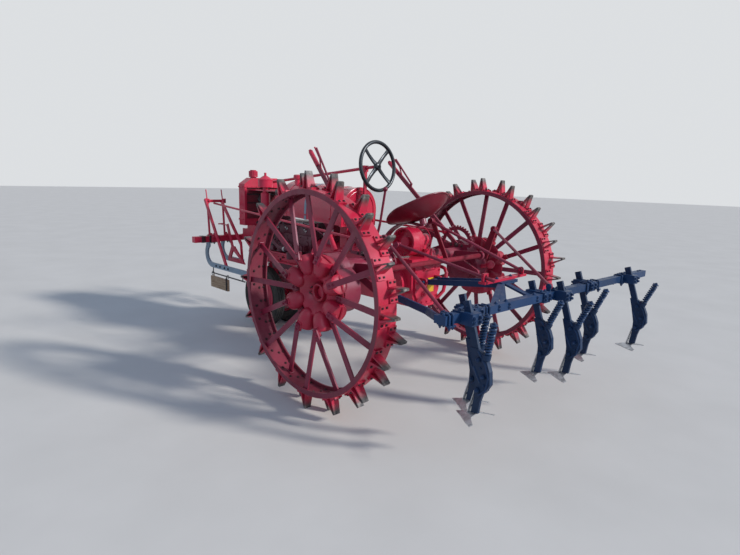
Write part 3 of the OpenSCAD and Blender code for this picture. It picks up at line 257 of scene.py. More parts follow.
# Columns: colour, gloss, clear coat, casting grain, dust, and where needed chips and worn lug tips
PAINTS = {
    "red_paint": (RED, 0.36, 0.2, 0.35, 0.2),
    "deep_red_paint": (DEEP_RED, 0.42, 0.2, 0.5, 0.2),
    "slate_blue_paint": (SLATE, 0.45, 0.1, 0.35, 0.05, 0.010),
    "grey_blue_paint": (GREY_BLUE, 0.45, 0.2, 0.35, 0.35),
    "black_paint": (BLACK, 0.3, 0.2, 0.15, 0.08),
    "black_plastic": (BLACK, 0.28, 0.2, 0.1, 0.05),
    "rim_paint": (scaled(RED, 0.92), 0.42, 0.2, 0.35, 0.35, 0.0, True),
    "hub_paint": (scaled(RED, 0.72), 0.4, 0.2, 0.45, 0.35),
    # Painted shade: the seat's dark red stands in for the shadow on its underside
    "seat_paint": (scaled(RED, 0.30), 0.34, 0.1, 0.1, 0.1),
    # Painted shade: the rock shaft's dark red stands in for the shadow where it runs
    "shaft_paint": (scaled(RED, 0.36), 0.75, 0.0, 0.5, 0.2),
    "cast_navy": (scaled(SLATE, 0.68), 0.45, 0.05, 0.9, 0.08),
    # Painted shade: a darker red on the rim band's inner faces and flanges
    "shade_paint": (PAINTED_SHADE_RED, 0.5, 0.2, 0.4, 0.3),
    "tank_paint": (RED, 0.2, 0.6, 0.05, 0.12),
    # Painted shade: a dark red over the engine
    "engine_paint": (ENGINE_SHADE_RED, 0.5, 0.2, 0.5, 0.3),
    "nut_paint": (DARK_NUT, 0.45, 0.2, 0.2, 0.15),
    "decal_yellow": (YELLOW, 0.35, 0.2, 0.05, 0.12),
    "radiator_core": (CORE_BLACK, 0.5, 0.2, 0.2, 0.3),
}
MATERIALS = {name: paint(name, *look) for name, look in PAINTS.items()}
MATERIALS["worn_steel"] = bare_metal("worn_steel", BARE_STEEL)
MATERIALS["tyre_rubber"] = rubber("tyre_rubber")
MATERIALS["board_wood"] = wood("board_wood")
# The nodes that look other than their slot's material; the rock shaft, engine block and manifold take darker
# reds that are painted shade
OWN_LOOK = {"rock_shaft": "shaft_paint", "shanks": "cast_navy", "engine_block": "engine_paint",
            "manifold": "engine_paint", "fuel_tank": "tank_paint", "belt_pulley": "tank_paint"}
for entry in frame["record"]["subparts"]:
    node_slots = nodes[entry["node"]].data.materials
    node_slots.clear()
    node_slots.append(MATERIALS[OWN_LOOK.get(entry["node"], entry["material_slot"])])


# Mesh code

def facing(at, axis, roll=0.0):
    """Matrix that puts local Z along axis at a point"""
    turn = Vector(axis).normalized().to_track_quat("Z", "Y").to_matrix().to_4x4()
    return Matrix.Translation(Vector(at)) @ turn @ Matrix.Rotation(roll, 4, "Z")


def placed(at, x, y, z):
    """Matrix that puts the local axes along three directions at a point"""
    return Matrix.Translation(at) @ Matrix((x, y, z)).transposed().to_4x4()


def place_of(at):
    """A placement as it is, and a point as a placement with level axes"""
    return at if isinstance(at, Matrix) else Matrix.Translation(at)


def circle(steps):
    """Angles of one turn in equal steps"""
    return [tau * i / steps for i in range(steps)]


def on_circle(x, z, r, degrees):
    """Point of a circle in the X-Z plane"""
    return x + r * cos(radians(degrees)), z + r * sin(radians(degrees))


class Piece:
    """One piece of the scene, built up in one mesh from lathed, swept and chamfered solids"""
    SHARP = radians(35)

    def __init__(self, name, *looks):
        self.name, self.looks, self.mesh = name, looks, bmesh.new()

    def faces(self, points, faces, mat=0):
        """New faces; mat is one material's number or one for each face"""
        made = [self.mesh.verts.new(p) for p in points]
        mats = mat if isinstance(mat, list) else [mat] * len(faces)
        for face, number in zip(faces, mats):
            new = self.mesh.faces.new([made[i] for i in face])
            new.material_index = number
            new.smooth = True

    def rings(self, rings, mat=0, closed=False):
        """Skin over rings of points that all have one length, with flat ends where it isn't closed"""
        n, last = len(rings[0]), len(rings) - 1
        quads = []
        for a in range(last + closed):
            b = (a + 1) % len(rings)
            quads += [(a * n + i, a * n + (i + 1) % n, b * n + (i + 1) % n, b * n + i) for i in range(n)]
        if not closed:
            quads += [tuple(range(n)), tuple(range(last * n, last * n + n))]
        self.faces([p for ring in rings for p in ring], quads, mat)

    def lathe(self, at, profile, sides=20, mat=0, closed=False):
        """Solid of revolution about a placement's Z; the profile has (radius, height) points"""
        place = place_of(at)
        rings = [[place @ Vector((r * cos(a), r * sin(a), z)) for a in circle(sides)] for r, z in profile]
        self.rings(rings, mat, closed)

    def tube(self, path, r, sides=10, mat=0, closed=False):
        """Round tube along a path of points; r is one radius or one for each point"""
        pts = [Vector(p) for p in path]
        radii = r if isinstance(r, (list, tuple)) else [r] * len(pts)
        rings, side = [], None
        for i, (p, radius) in enumerate(zip(pts, radii)):
            before = pts[i - 1] if i or closed else p
            after = pts[(i + 1) % len(pts)] if i < len(pts) - 1 or closed else p
            ahead = (after - before).normalized()
            if side is None:
                side = ahead.orthogonal().normalized()
            side = (side - ahead * side.dot(ahead)).normalized()
            over = ahead.cross(side)
            rings.append([p + radius * (cos(a) * side + sin(a) * over) for a in circle(sides)])
        self.rings(rings, mat, closed)

    def box(self, at, size, chamfer=0.002, mat=0):
        """Box with chamfered edges, centred on a placement"""
        place = place_of(at)
        half = [s / 2 for s in size]
        cut = min(chamfer, min(half) * 0.9)
        points = []
        # Bit k of a corner's number is its side of axis k, and each corner has one point for each axis
        for corner, axis in product(range(8), range(3)):
            reach = [half[k] - (k != axis) * cut for k in range(3)]
            points.append(place @ Vector([r if corner >> k & 1 else -r for k, r in enumerate(reach)]))
        faces = [(3 * corner, 3 * corner + 1, 3 * corner + 2) for corner in range(8)]
        for axis in range(3):
            after, last = (axis + 1) % 3, (axis + 2) % 3
            u, v, w = 1 << axis, 1 << after, 1 << last
            faces += [[3 * (end + k) + axis for k in (0, v, v + w, w)] for end in (0, u)]
            faces += [(3 * k + after, 3 * (k + u) + after, 3 * (k + u) + last, 3 * k + last)
                      for k in (0, v, w, v + w)]
        self.faces(points, faces, mat)

    def bolt(self, at, axis, r=0.009, h=0.007, sides=6, mat=0, washer=True, roll=0.0):
        """Bolt head or nut on a washer, with the end of its thread"""
        place = facing(at, axis, roll)
        if washer:
            self.lathe(place, [(r * 1.3, -0.001), (r * 1.3, 0.0018), (r * 1.22, 0.0024)], 14, mat)
        self.lathe(place, [(r, 0.0), (r, h * 0.8), (r * 0.82, h)], sides, mat)
        self.lathe(place, [(r * 0.5, h * 0.5), (r * 0.5, h * 1.35), (r * 0.4, h * 1.5)], 8, mat)

    def bolts(self, spots, axis, r=0.009, h=0.007, both=True, **more):
        """Bolts at a list of points, repeated on the right-hand side where both is true"""
        for side in (LEFT, RIGHT) if both else (LEFT,):
            for x, y, z in spots:
                self.bolt((x, side * y, z), (axis[0], side * axis[1], axis[2]), r, h, **more)

    def boxes(self, spots, size, chamfer=0.002, mat=0):
        """Level boxes of one size at a list of points, repeated on the right-hand side"""
        for side in (LEFT, RIGHT):
            for x, y, z in spots:
                self.box((x, side * y, z), size, chamfer, mat)

    def ribs(self, place, count, r, height, size, chamfer=0.002):
        """Upright ribs in a circle about a placement's Z"""
        for a in circle(count):
            turn = Matrix.Rotation(a, 4, "Z") @ Matrix.Translation((r, 0, height))
            self.box(place @ turn, size, chamfer)

    def done(self, body, replaces=()):
        """Make the object with its materials, hide the nodes it replaces and hang it on its body"""
        bmesh.ops.recalc_face_normals(self.mesh, faces=self.mesh.faces)
        data = bpy.data.meshes.new(self.name)
        self.mesh.to_mesh(data)
        self.mesh.free()
        data.set_sharp_from_angle(angle=self.SHARP)
        for look in self.looks:
            data.materials.append(MATERIALS[look])
        piece = bpy.data.objects.new(self.name, data)
        bpy.context.collection.objects.link(piece)
        if replaces:
            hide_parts(*replaces)
        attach(piece, body)


# Rear wheels

def spoke_slope(row):
    """Step across the wheel of a row's spokes for each metre outwards"""
    at_hub, at_rim = SPOKE_Y[row]
    return (at_rim - at_hub) / (SPOKE_END_R - HUB_RING_R)


def spoke_at(row, r):
    """Place across the wheel of a spoke's lower face at a radius"""
    return SPOKE_Y[row][0] + (r - HUB_RING_R) * spoke_slope(row)


def on_wheel(side, angle, along, across, r):
    """Point of a rear wheel: angle about the axle as in the CAD, then along the rim, across it and out"""
    x = along * cos(angle) + r * sin(angle)
    z = -along * sin(angle) + r * cos(angle)
    return Vector((x, side * (WHEEL_Y + across), AXLE_Z + z))


def wheel_axes(side, angle, slope=0.0):
    """Directions along the rim, square to a spoke of that slope, and outwards along it"""
    middle = on_wheel(side, angle, 0, 0, 0)
    ways = ((1, 0, 0), (0, 1, -slope), (0, slope, 1))
    return [(on_wheel(side, angle, *way) - middle).normalized() for way in ways]


def lug_places(side):
    """Angle and place across the rim of each lug: the left-hand row is in line with the spokes"""
    return [(a, side * (-LUG_ROW_Y if i % 2 else LUG_ROW_Y)) for i, a in enumerate(circle(LUGS))]


RIM_INNER_R, RIM_WEB_Y, RIM_EDGE = RIM_R - RIM_T, RIM_HALF_W - RIM_T, 0.003
# Half of a rim's section: radius, place across the wheel
RIM_SECTION = ((RIM_INNER_R, 0.0), (RIM_INNER_R, RIM_WEB_Y), (RIM_INNER_R - RIM_LIP, RIM_WEB_Y),
               (RIM_INNER_R - RIM_LIP, RIM_HALF_W), (RIM_R - RIM_EDGE, RIM_HALF_W),
               (RIM_R, RIM_HALF_W - RIM_EDGE), (RIM_R, 0.0))
# Outline of a lug bent from plate: place along the rim, height above it
LUG_OUTLINE = ((-0.072, -0.004), (-0.072, 0.009), (-0.036, 0.009), (-0.007, LUG_H), (0.007, LUG_H),
               (0.022, 0.009), (0.060, 0.009), (0.060, -0.004), (0.013, -0.004), (0.001, LUG_H - 0.016),
               (-0.003, LUG_H - 0.016), (-0.024, -0.004))
LUG_HALF_W, LUG_TAPER = 0.032, 0.24
# A lug's bolts: places along the rim, and across it from the lug's middle
LUG_BOLTS, LUG_BOLT_Y = (-0.056, 0.046), (-0.018, 0.018)
# Radii of the two bolts of each spoke, by row
HUB_BOLTS = ((0.246, 0.280), (0.214, 0.246))


def rims(name, side):
    """Channel-shaped rim band with two rows of lugs bent from plate; its faces off the tread carry painted
    shade
    """
    p = Piece(f"wheel_rims_{name}", "rim_paint", "shade_paint")
    steps = 180
    section = RIM_SECTION + tuple((r, -y) for r, y in RIM_SECTION[-2:0:-1])
    # Faces on the tread take the rim paint, the others a darker red of painted shade
    tread = [min(r, after) > RIM_R - 0.004 for (r, _), (after, _) in zip(section, section[1:] + section[:1])]
    p.rings([[on_wheel(side, a, 0, y, r) for a in circle(steps)] for r, y in section],
            [0 if top else 1 for top in tread for _ in range(steps)], closed=True)
    for angle, row in lug_places(side):
        ends = []
        for end in (-1, 1):
            half = [end * LUG_HALF_W * (1 - LUG_TAPER * max(up, 0) / LUG_H) for along, up in LUG_OUTLINE]
            ends.append([on_wheel(side, angle, along, row + across, RIM_R + up)
                         for (along, up), across in zip(LUG_OUTLINE, half)])
        p.rings(ends)
    p.done(f"rear_wheel_{name}", [f"wheel_rim_{name}"])


def rim_bolts(name, side):
    """Square heads on the lugs' feet and nuts inside the rim"""
    p = Piece(f"rim_bolts_{name}", "nut_paint")
    for i, (angle, row) in enumerate(lug_places(side)):
        out = wheel_axes(side, angle)[2]
        for along, across in product(LUG_BOLTS, LUG_BOLT_Y):
            spot = (side, angle, along, row + across)
            sink = RIM_R - sqrt(RIM_R ** 2 - along ** 2)
            p.bolt(on_wheel(*spot, RIM_R + 0.008), out, 0.0090, 0.007, sides=4, washer=False, roll=0.8)
            p.bolt(on_wheel(*spot, RIM_INNER_R - sink + 0.001), -out, 0.0085, 0.008, roll=i)
    p.done(f"rear_wheel_{name}")


def spoke_bolts(name, side):
    """Two bolts at each spoke's hub end and a riveted shoe at its rim end"""
    p = Piece(f"spoke_bolts_{name}", "deep_red_paint", "nut_paint")
    for i, angle in enumerate(circle(SPOKES)):
        row = 1 - i % 2
        square = wheel_axes(side, angle, spoke_slope(row))[1]
        for r in HUB_BOLTS[row]:
            top = spoke_at(row, r) + SPOKE_T - 0.001
            p.bolt(on_wheel(side, angle, 0, top, r), square, 0.0105, 0.009, roll=i)
        along, across, out = wheel_axes(side, angle)
        middle = spoke_at(row, SPOKE_END_R - 0.001) + SPOKE_T / 2
        shoe = on_wheel(side, angle, 0, middle, SPOKE_END_R - 0.005)
        p.box(placed(shoe, along, across, out), (0.046, 0.040, 0.007))
        for k in (-1, 1):
            p.bolt(shoe + across * 0.013 * k - out * 0.003, -out, 0.006, 0.005, mat=1, washer=False)
    p.done(f"rear_wheel_{name}")


# Columns: radius about the axle, place across the wheel
HUB_DISH = mm((43, -118), (78, -118), (80, -100), (95, -70), (120, -50), (150, -42), (172, -48), (198, -59),
              (262, -47), (266, -41), (262, -34.7), (200, -47), (184, -37), (166, -18), (146, -8),
              (120, -20), (92, -48), (70, -74), (60, -80), (43, -80))
HUB_COLLAR = mm((43, -90), (61, -90), (63, -52), (59, -43), (50, -41), (44, -48))
AXLE_END = mm((38, -213), (38, -78), (34, -74))
LOBE_Y = -0.022
# Columns: distance from the axle, radius of the lobe; the last three close its end
LOBE = mm((124, 14), (130, 30), (142, 43), (160, 53), (190, 60), (225, 64), (256, 66), (260, 64), (257, 58),
          (254, 40), (256, 12))
SOCKET_R, SOCKET = 0.256, (0.046, 0.018, 0.068)
# Angle of the collar's split ears
EAR = pi / 2


def hub_castings(name, side):
    """Hub: smooth dish with a split collar in its middle, and the barrel-shaped lobes round it"""
    p = Piece(f"hub_castings_{name}", "hub_paint", "red_paint", "nut_paint")
    place = facing(on_wheel(side, 0, 0, 0, 0), (0, side, 0))
    p.lathe(place, HUB_DISH, 64, closed=True)
    p.lathe(place, HUB_COLLAR, 48, closed=True)
    p.lathe(place, AXLE_END, 32, mat=1)
    for angle in circle(SPOKES)[1::2]:
        rings = []
        for r, lobe_r in LOBE:
            top = spoke_at(0, r) - 0.0008
            rings.append([on_wheel(side, angle, lobe_r * cos(a), min(LOBE_Y + lobe_r * sin(a), top), r)
                          for a in circle(28)])
        p.rings(rings)
        socket = on_wheel(side, angle, 0, spoke_at(0, SOCKET_R) - 0.010, SOCKET_R)
        p.box(placed(socket, *wheel_axes(side, angle, spoke_slope(0))), SOCKET, 0.004)
    along, across, out = wheel_axes(side, EAR)
    for k in (-1, 1):
        ear = on_wheel(side, EAR, k * 0.012, -0.062, 0.076)
        p.box(placed(ear, along, across, out), (0.012, 0.040, 0.040), 0.005)
        p.bolt(on_wheel(side, EAR, k * 0.018, -0.060, 0.080), along * k, 0.010, 0.009, mat=2)
    p.bolt(on_wheel(side, EAR, 0.012, -0.042, 0.080), across, 0.007, 0.005, mat=2, washer=False)
    p.done(f"rear_wheel_{name}", [f"wheel_hub_{name}"])


for wheel_name, wheel_side in SIDES.items():
    rims(wheel_name, wheel_side)
    rim_bolts(wheel_name, wheel_side)
    spoke_bolts(wheel_name, wheel_side)
    hub_castings(wheel_name, wheel_side)


# Rear cultivator

SWING = radians(4)
SWING_X, BAR_X, BAR_Z, HALF_BAR = -0.830, -1.120, 0.840, 0.025
# Columns: place along the tool bar, its side (1 ahead, -1 behind), lean of the spring in degrees
SHANK_ROWS = ((0.800, -1, 10), (0.690, 1, 8), (-0.020, 1, 24), (-0.165, -1, 24), (-0.645, 1, 24),
              (-1.210, -1, 24))
SHANK_OFF, SHANK_LEAN, SHANK_T = 0.060, radians(19), 0.018
FOOT_TILT = radians(9)
SPRING_R, SPRING_LEN, SPRING_TURNS, SPRING_WIRE = 0.022, 0.165, 9, 0.0068
END_PLATE = mm((8, 0), (21.5, 0), (21.5, 4), (8, 5))
# Columns: ahead of a shank's middle, above the tool bar's
SPRING_SEAT = (-0.122, -0.166)
TRIP_PIVOTS = mm((-82, -205), (-118, -290), (-88, -372))
TRIP_BOLTS = mm((-96, -248), (-125, -335))
TRIP_RIBS = (mm((-75, -160), (-128, -225), (-150, -290), (-136, -362), (-92, -400)),
             mm((-52, -250), (-100, -330)))


def on_bar(s, ahead, up):
    """Point s along the tool bar, ahead of it and above its middle line"""
    a = BAR_X - SWING_X + ahead
    return Vector((SWING_X + a * cos(SWING) + s * sin(SWING), -a * sin(SWING) + s * cos(SWING), BAR_Z + up))


AHEAD = on_bar(0, 1, 0) - on_bar(0, 0, 0)
ALONG = on_bar(1, 0, 0) - on_bar(0, 0, 0)


def bar_place(s, ahead, up):
    """Placement at a point of the tool bar, with its axes ahead, along and up"""
    return placed(on_bar(s, ahead, up), AHEAD, ALONG, UP)


def at_shank(row, ahead, up, s=0.0):
    return on_bar(row[0] + s, row[1] * SHANK_OFF + ahead, up)


def trip_springs():
    """Coil springs with their rods, end plates and nuts"""
    p = Piece("coil_springs", "slate_blue_paint")
    steps = 16
    for row in SHANK_ROWS:
        lean = radians(row[2])
        up = UP * cos(lean) - AHEAD * sin(lean)
        over = up.cross(ALONG)
        foot = at_shank(row, *SPRING_SEAT)
        coil = []
        for k in range(SPRING_TURNS * steps + 1):
            a = tau * k / steps
            h = SPRING_WIRE + (SPRING_LEN - 2 * SPRING_WIRE) * k / (SPRING_TURNS * steps)
            coil.append(foot + up * h + (SPRING_R - SPRING_WIRE) * (cos(a) * ALONG + sin(a) * over))
        p.tube(coil, SPRING_WIRE, 6)
        nut = foot + up * (SPRING_LEN + 0.004)
        p.tube([foot - up * 0.01, nut], 0.007, 8)
        p.lathe(facing(foot + up * SPRING_LEN, up), END_PLATE, 16)
        p.bolt(nut, up, 0.011, 0.009, washer=False)
    p.done("cultivator", replaces=["trip_springs"])


def clamp_details():
    """Square nuts on the clamps' bolts, set screws and a band above and below each clamp"""
    p = Piece("clamp_details", "slate_blue_paint")
    ends = ((-0.034, -1), (0.103, 1))
    for s, sign, _ in SHANK_ROWS:
        for ds, up, (end, way) in product((-0.025, 0.025), (-0.0125, 0.0125), ends):
            nut = on_bar(s + ds, sign * end, up)
            p.bolt(nut, AHEAD * sign * way, 0.0125, 0.011, sides=4, roll=0.78)
        for ds in (-0.020, 0.020):
            p.bolt(on_bar(s + ds, 0, 0.034), UP, 0.009, 0.009, sides=4, roll=0.78)
        for up in (0.034, -0.034):
            p.box(bar_place(s, sign * 0.020, up), (0.100, 0.016, 0.009), 0.003)
    p.done("cultivator")


def shank_details():
    """Pivot bolts through the trip castings, their ribs, foot bolts and cotter pins"""
    p = Piece("shank_details", "slate_blue_paint")
    foot_front = AHEAD * cos(FOOT_TILT) + UP * sin(FOOT_TILT)
    for row in SHANK_ROWS:
        for way in (-1, 1):
            face = way * (SHANK_T / 2 + 0.005)
            for a, u in TRIP_PIVOTS:
                p.bolt(at_shank(row, a, u, way * (SHANK_T / 2 + 0.015)), ALONG * way, 0.010, 0.009)
            for rib in TRIP_RIBS:
                p.tube([at_shank(row, a, u, face) for a, u in rib], 0.006, 8)
            for a, u in TRIP_BOLTS:
                p.bolt(at_shank(row, a, u, face), ALONG * way, 0.008, 0.006, washer=False)
        for up in (-0.478, -0.452):
            ahead = -0.042 - (up + 0.512) * tan(FOOT_TILT)
            p.bolt(at_shank(row, ahead, up), foot_front, 0.0075, 0.004, washer=False)
        for up in (0.060, 0.075):
            cotter = at_shank(row, up * tan(SHANK_LEAN), up, SHANK_T / 2)
            p.bolt(cotter, ALONG, 0.0055, 0.003, washer=False)
    p.done("cultivator")


def bar_details():
    """Bolts of the drag frame's feet and of the flat cross bar, and pins of the rods"""
    p = Piece("drag_details", "slate_blue_paint")
    for s in (0.490, 0.390, 0.085):
        p.bolt(on_bar(s, 0.0, HALF_BAR), UP, 0.010, 0.009)
        for up in (-0.006, 0.014):
            p.bolt(on_bar(s, -HALF_BAR, up), -AHEAD, 0.009, 0.008)
    p.bolts([(x, 0.07, 0.885) for x in (-0.79, -0.865)], DOWN, 0.011, 0.010)
    p.bolts([(SWING_X, y, 0.921) for y in (0.088, 0.236)], UP, 0.011, 0.008)
    for ends, r, h in (((0.948, 0.918), 0.009, 0.008), ((-1.54, -1.50), 0.008, 0.006)):
        for s in ends:
            p.bolt(on_bar(s, 0, HALF_BAR), UP, r, h)
    p.done("cultivator")


# Origin of a sweep: ahead of the shank's middle, above the tool bar's
SWEEP_AHEAD, SWEEP_UP, SWEEP_T = -0.0485, -0.5445, 0.005
# Columns: ahead, out from the middle, up; from the nose round the wing's tip to the crown and the notch
WING = mm((104, 0, 0), (46, 36, 4), (-30, 88, 8), (-76, 112, 10), (-82, 92, 16), (-72, 86, 18),
          (-38, 52, 27), (14, 20, 28), (6, 0, 36), (-34, 0, 34))
WING_FACES = ((0, 1, 7, 8), (1, 2, 6, 7), (2, 3, 5, 6), (3, 4, 5), (7, 6, 9, 8))
WING_EDGE = (0, 1, 2, 3, 4, 5, 6, 9, 8)
# Columns: ahead, up
SHIN = mm((16, 24), (5, 70), (-6, 115), (-16, 160))


def sweeps():
    """Scoured sweeps: two swept wings that rise to a crown, and a shin up the front of the foot"""
    p = Piece("sweeps", "worn_steel")
    n = len(WING)
    faces = list(WING_FACES) + [tuple(i + n for i in reversed(face)) for face in WING_FACES]
    faces += [(a, b, b + n, a + n) for a, b in zip(WING_EDGE, WING_EDGE[1:] + WING_EDGE[:1])]
    for row in SHANK_ROWS:
        def put(a, s, u):
            return at_shank(row, SWEEP_AHEAD + a, SWEEP_UP + u, s)
        for way in (-1, 1):
            p.faces([put(a, way * s, u - drop) for drop in (0, SWEEP_T) for a, s, u in WING], faces)
        rings = []
        for a, u in SHIN:
            half = 0.021 if u < 0.1 else 0.034 - 0.14 * u
            section = ((0, -half), (0.007, -half * 0.4), (0.007, half * 0.4), (0, half), (-0.004, half),
                       (-0.004, -half))
            rings.append([put(a + d, s, u) for d, s in section])
        p.rings(rings)
    p.done("cultivator", replaces=["shovels"])


# Places along the tool bar of its U-bolts, and the distance of their legs from its middle
U_BOLTS = (0.936, 0.908, 0.620, 0.590, -0.255, -0.560, -0.735, -1.125, -1.300)
U_LEG = HALF_BAR + 0.0062


def bar_bolts():
    """U-bolts round the tool bar with their plates and nuts, and long plates at the near clamps"""
    p = Piece("bar_bolts", "slate_blue_paint")
    bend = U_LEG - 0.006
    loop = ((-U_LEG, -0.052), (-U_LEG, bend), (-bend, U_LEG), (bend, U_LEG), (U_LEG, bend), (U_LEG, -0.052))
    for s in U_BOLTS:
        p.tube([on_bar(s, a, u) for a, u in loop], 0.0055, 10)
        p.box(bar_place(s, 0, -HALF_BAR - 0.005), (0.092, 0.026, 0.008))
        for a in (-U_LEG, U_LEG):
            p.bolt(on_bar(s, a, -HALF_BAR - 0.009), DOWN, 0.0105, 0.010, washer=False)
    for way in (-1, 1):
        for s, width, height in ((0.765, 0.052, 0.082), (0.650, 0.030, 0.074)):
            p.box(bar_place(s, way * 0.0305, -0.002), (0.009, width, height), 0.003)
        for s, up in product((0.750, 0.780), (-0.022, 0.020)):
            p.bolt(on_bar(s, way * 0.035, up), AHEAD * way, 0.009, 0.009)
    p.done("cultivator")


trip_springs()
clamp_details()
shank_details()
bar_details()
bar_bolts()
sweeps()


# Transmission case and axle

CASE_BACK_X, CASE_HALF_W, CASE_TOP_Z = -0.176, 0.180, 0.970
# Centres in X and Z: the case's side cover, the cross shaft and the rear axle
COVER, CROSS_SHAFT, AXLE = (0.040, 0.770), (0.060, 0.925), (0, AXLE_Z)
DROP_OUT_Y, DROP_IN_Y = 0.850, 0.705
YELLOW_PLATE, FILLER_PAD, PAD_Z = (0.004, 0.076, 0.112), (0.016, 0.150, 0.040), 0.893
# Columns: out from the middle, height
REAR_COVER_BOLTS = mm((139, 925), (140, 865), (138, 800), (131, 735), (110, 665), (62, 628), (70, 930))
DRAIN_PLUG = mm((22, -2), (22, 8), (13, 10), (13, 22), (10, 24))
BENT_PIPE = mm((-120, -222, 880), (-168, -222, 868), (-192, -218, 835), (-194, -208, 760),
               (-192, -190, 690), (-165, -160, 640), (-120, -130, 622))
FILLER_NECK = mm((-150, -778, 826), (-190, -778, 836), (-222, -778, 848))
AXLE_COVER = mm((105, -2), (105, 10), (95, 14), (45, 16), (40, 26), (10, 28))


def bolt_circle(centre, r, degrees, y, clear, gap):
    """Points of a bolt circle on a side face, without those nearer than gap to the centre in clear"""
    spots = [on_circle(*centre, r, a) for a in degrees]
    return [(x, y, z) for x, z in spots if hypot(x - clear[0], z - clear[1]) > gap]


def case_details():
    """Rear cover's bolts, blank yellow plate, filler pad, drain plug, side cover bolts and bent pipe"""
    p = Piece("case_details", "red_paint", "decal_yellow")
    p.bolts([(CASE_BACK_X, y, z) for y, z in REAR_COVER_BOLTS], BACK, 0.0085, 0.007)
    p.bolt((CASE_BACK_X, 0, 0.628), BACK, 0.0085, 0.007)
    p.box((CASE_BACK_X - 0.001, -0.040, 0.757), YELLOW_PLATE, 0.001, mat=1)
    p.box((CASE_BACK_X - 0.005, -0.012, PAD_Z), FILLER_PAD, 0.007)
    p.bolts([(CASE_BACK_X - 0.013, y, PAD_Z) for y in (-0.072, 0.048)], BACK, 0.007, 0.006, both=False)
    plug_at = Matrix.Translation((CASE_BACK_X, 0.045, 0.690)) @ Matrix.Rotation(-pi / 2, 4, "Y")
    p.lathe(plug_at, DRAIN_PLUG, 18)
    top = [(x, CASE_HALF_W - 0.004, CASE_TOP_Z) for x in (-0.130, -0.040, 0.170, 0.260, 0.350, 0.430)]
    p.bolts(top, UP, 0.008, 0.006)
    cover_bolts = bolt_circle(COVER, 0.136, range(15, 360, 30), 0.220, CROSS_SHAFT, 0.125)
    p.bolts(cover_bolts, OUTWARD, 0.008, 0.006)
    shaft_bolts = bolt_circle(CROSS_SHAFT, 0.094, range(22, 360, 45), 0.2363, CROSS_SHAFT, 0)
    p.bolts(shaft_bolts, OUTWARD, 0.008, 0.006)
    p.tube(BENT_PIPE, 0.015, 12)
    p.done("tractor")


def drop_case_details():
    """Cover bolts round the drop cases, their ribs and the ball-ended filler neck on the right one"""
    p = Piece("drop_case_details", "deep_red_paint", "red_paint")
    for y, way in ((DROP_OUT_Y, OUTWARD), (DROP_IN_Y, -OUTWARD)):
        lower = [360 / 14 * i for i in range(14)]
        p.bolts(bolt_circle(AXLE, 0.150, lower, y, CROSS_SHAFT, 0.100), way)
        p.bolts(bolt_circle(CROSS_SHAFT, 0.104, range(-30, 163, 32), y, AXLE, 0.170), way)
    for side in (LEFT, RIGHT):
        p.lathe(facing((0, side * DROP_IN_Y, AXLE_Z), (0, -side, 0)), AXLE_COVER, 32)
        for a in range(200, 341, 35):
            ends = [on_circle(*AXLE, r, a) for r in (0.102, 0.138)]
            p.tube([(x, side * (DROP_IN_Y + 0.001), z) for x, z in ends], 0.006, 8)
    p.tube(FILLER_NECK, [0.020, 0.018, 0.016], 14, mat=1)
    ball = [(0.038 * cos(radians(a)), 0.038 * sin(radians(a))) for a in range(-80, 81, 20)]
    p.lathe(facing((-0.246, -0.778, 0.855), (-1, 0, 0.3)), ball, 24, mat=1)
    p.done("tractor")


def pulley_beads():
    """Rim beads of the belt pulley's ends"""
    p = Piece("pulley_beads", "red_paint")
    low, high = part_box("belt_pulley")
    x, z, r = (low[0] + high[0]) / 2, (low[2] + high[2]) / 2, (high[2] - low[2]) / 2 - 0.003
    for y in (low[1], high[1]):
        p.tube([(x + r * cos(a), y, z + r * sin(a)) for a in circle(40)], 0.0030, 8, closed=True)
    p.done("pulley")


case_details()
drop_case_details()
pulley_beads()


# Engine, tank and radiator

CYLINDER_STEP = 0.15
SPARK_PLUG = mm((13, 0), (13, 10), (8, 12), (8, 30), (5, 34))
CARBURETTOR_X, CARBURETTOR_Y = 1.275, 0.245
CARBURETTOR = mm((10, 792), (34, 796), (36, 846), (42, 848), (42, 858), (24, 866), (24, 905), (36, 907),
                 (36, 916), (10, 918))
THROAT = mm((1275, 245, 888), (1235, 247, 888), (1205, 247, 888))
AIR_PIPE = mm((1275, 250, 888), (1340, 262, 886), (1430, 272, 900), (1530, 272, 960), (1610, 262, 1050),
              (1690, 240, 1150), (1775, 200, 1205), (1800, 172, 1215))
AIR_CLAMPS = (((1.345, 0.263, 0.886), (1, 0.13, 0)), ((1.600, 0.264, 1.040), (0.6, -0.1, 0.8)))
HOSE_CLAMP = mm((21, -10), (23.5, -8), (23.5, 8), (21, 10))
# Columns: ahead of the plug, out from the middle, height
PLUG_LEAD = mm((0, 145, 1080), (10, 158, 1098), (30, 150, 1118), (60, 105, 1128))
LEAD_TUBE = mm((1150, 98, 1128), (1620, 98, 1128), (1660, 125, 1080), (1655, 185, 950))
MAGNETO_X, MAGNETO_Y = 1.600, 0.215
MAGNETO_CAP = mm((34, 0), (34, 30), (26, 40), (8, 42))
OIL_CAP = mm((10, 848), (36, 850), (38, 858), (38, 874), (30, 879))


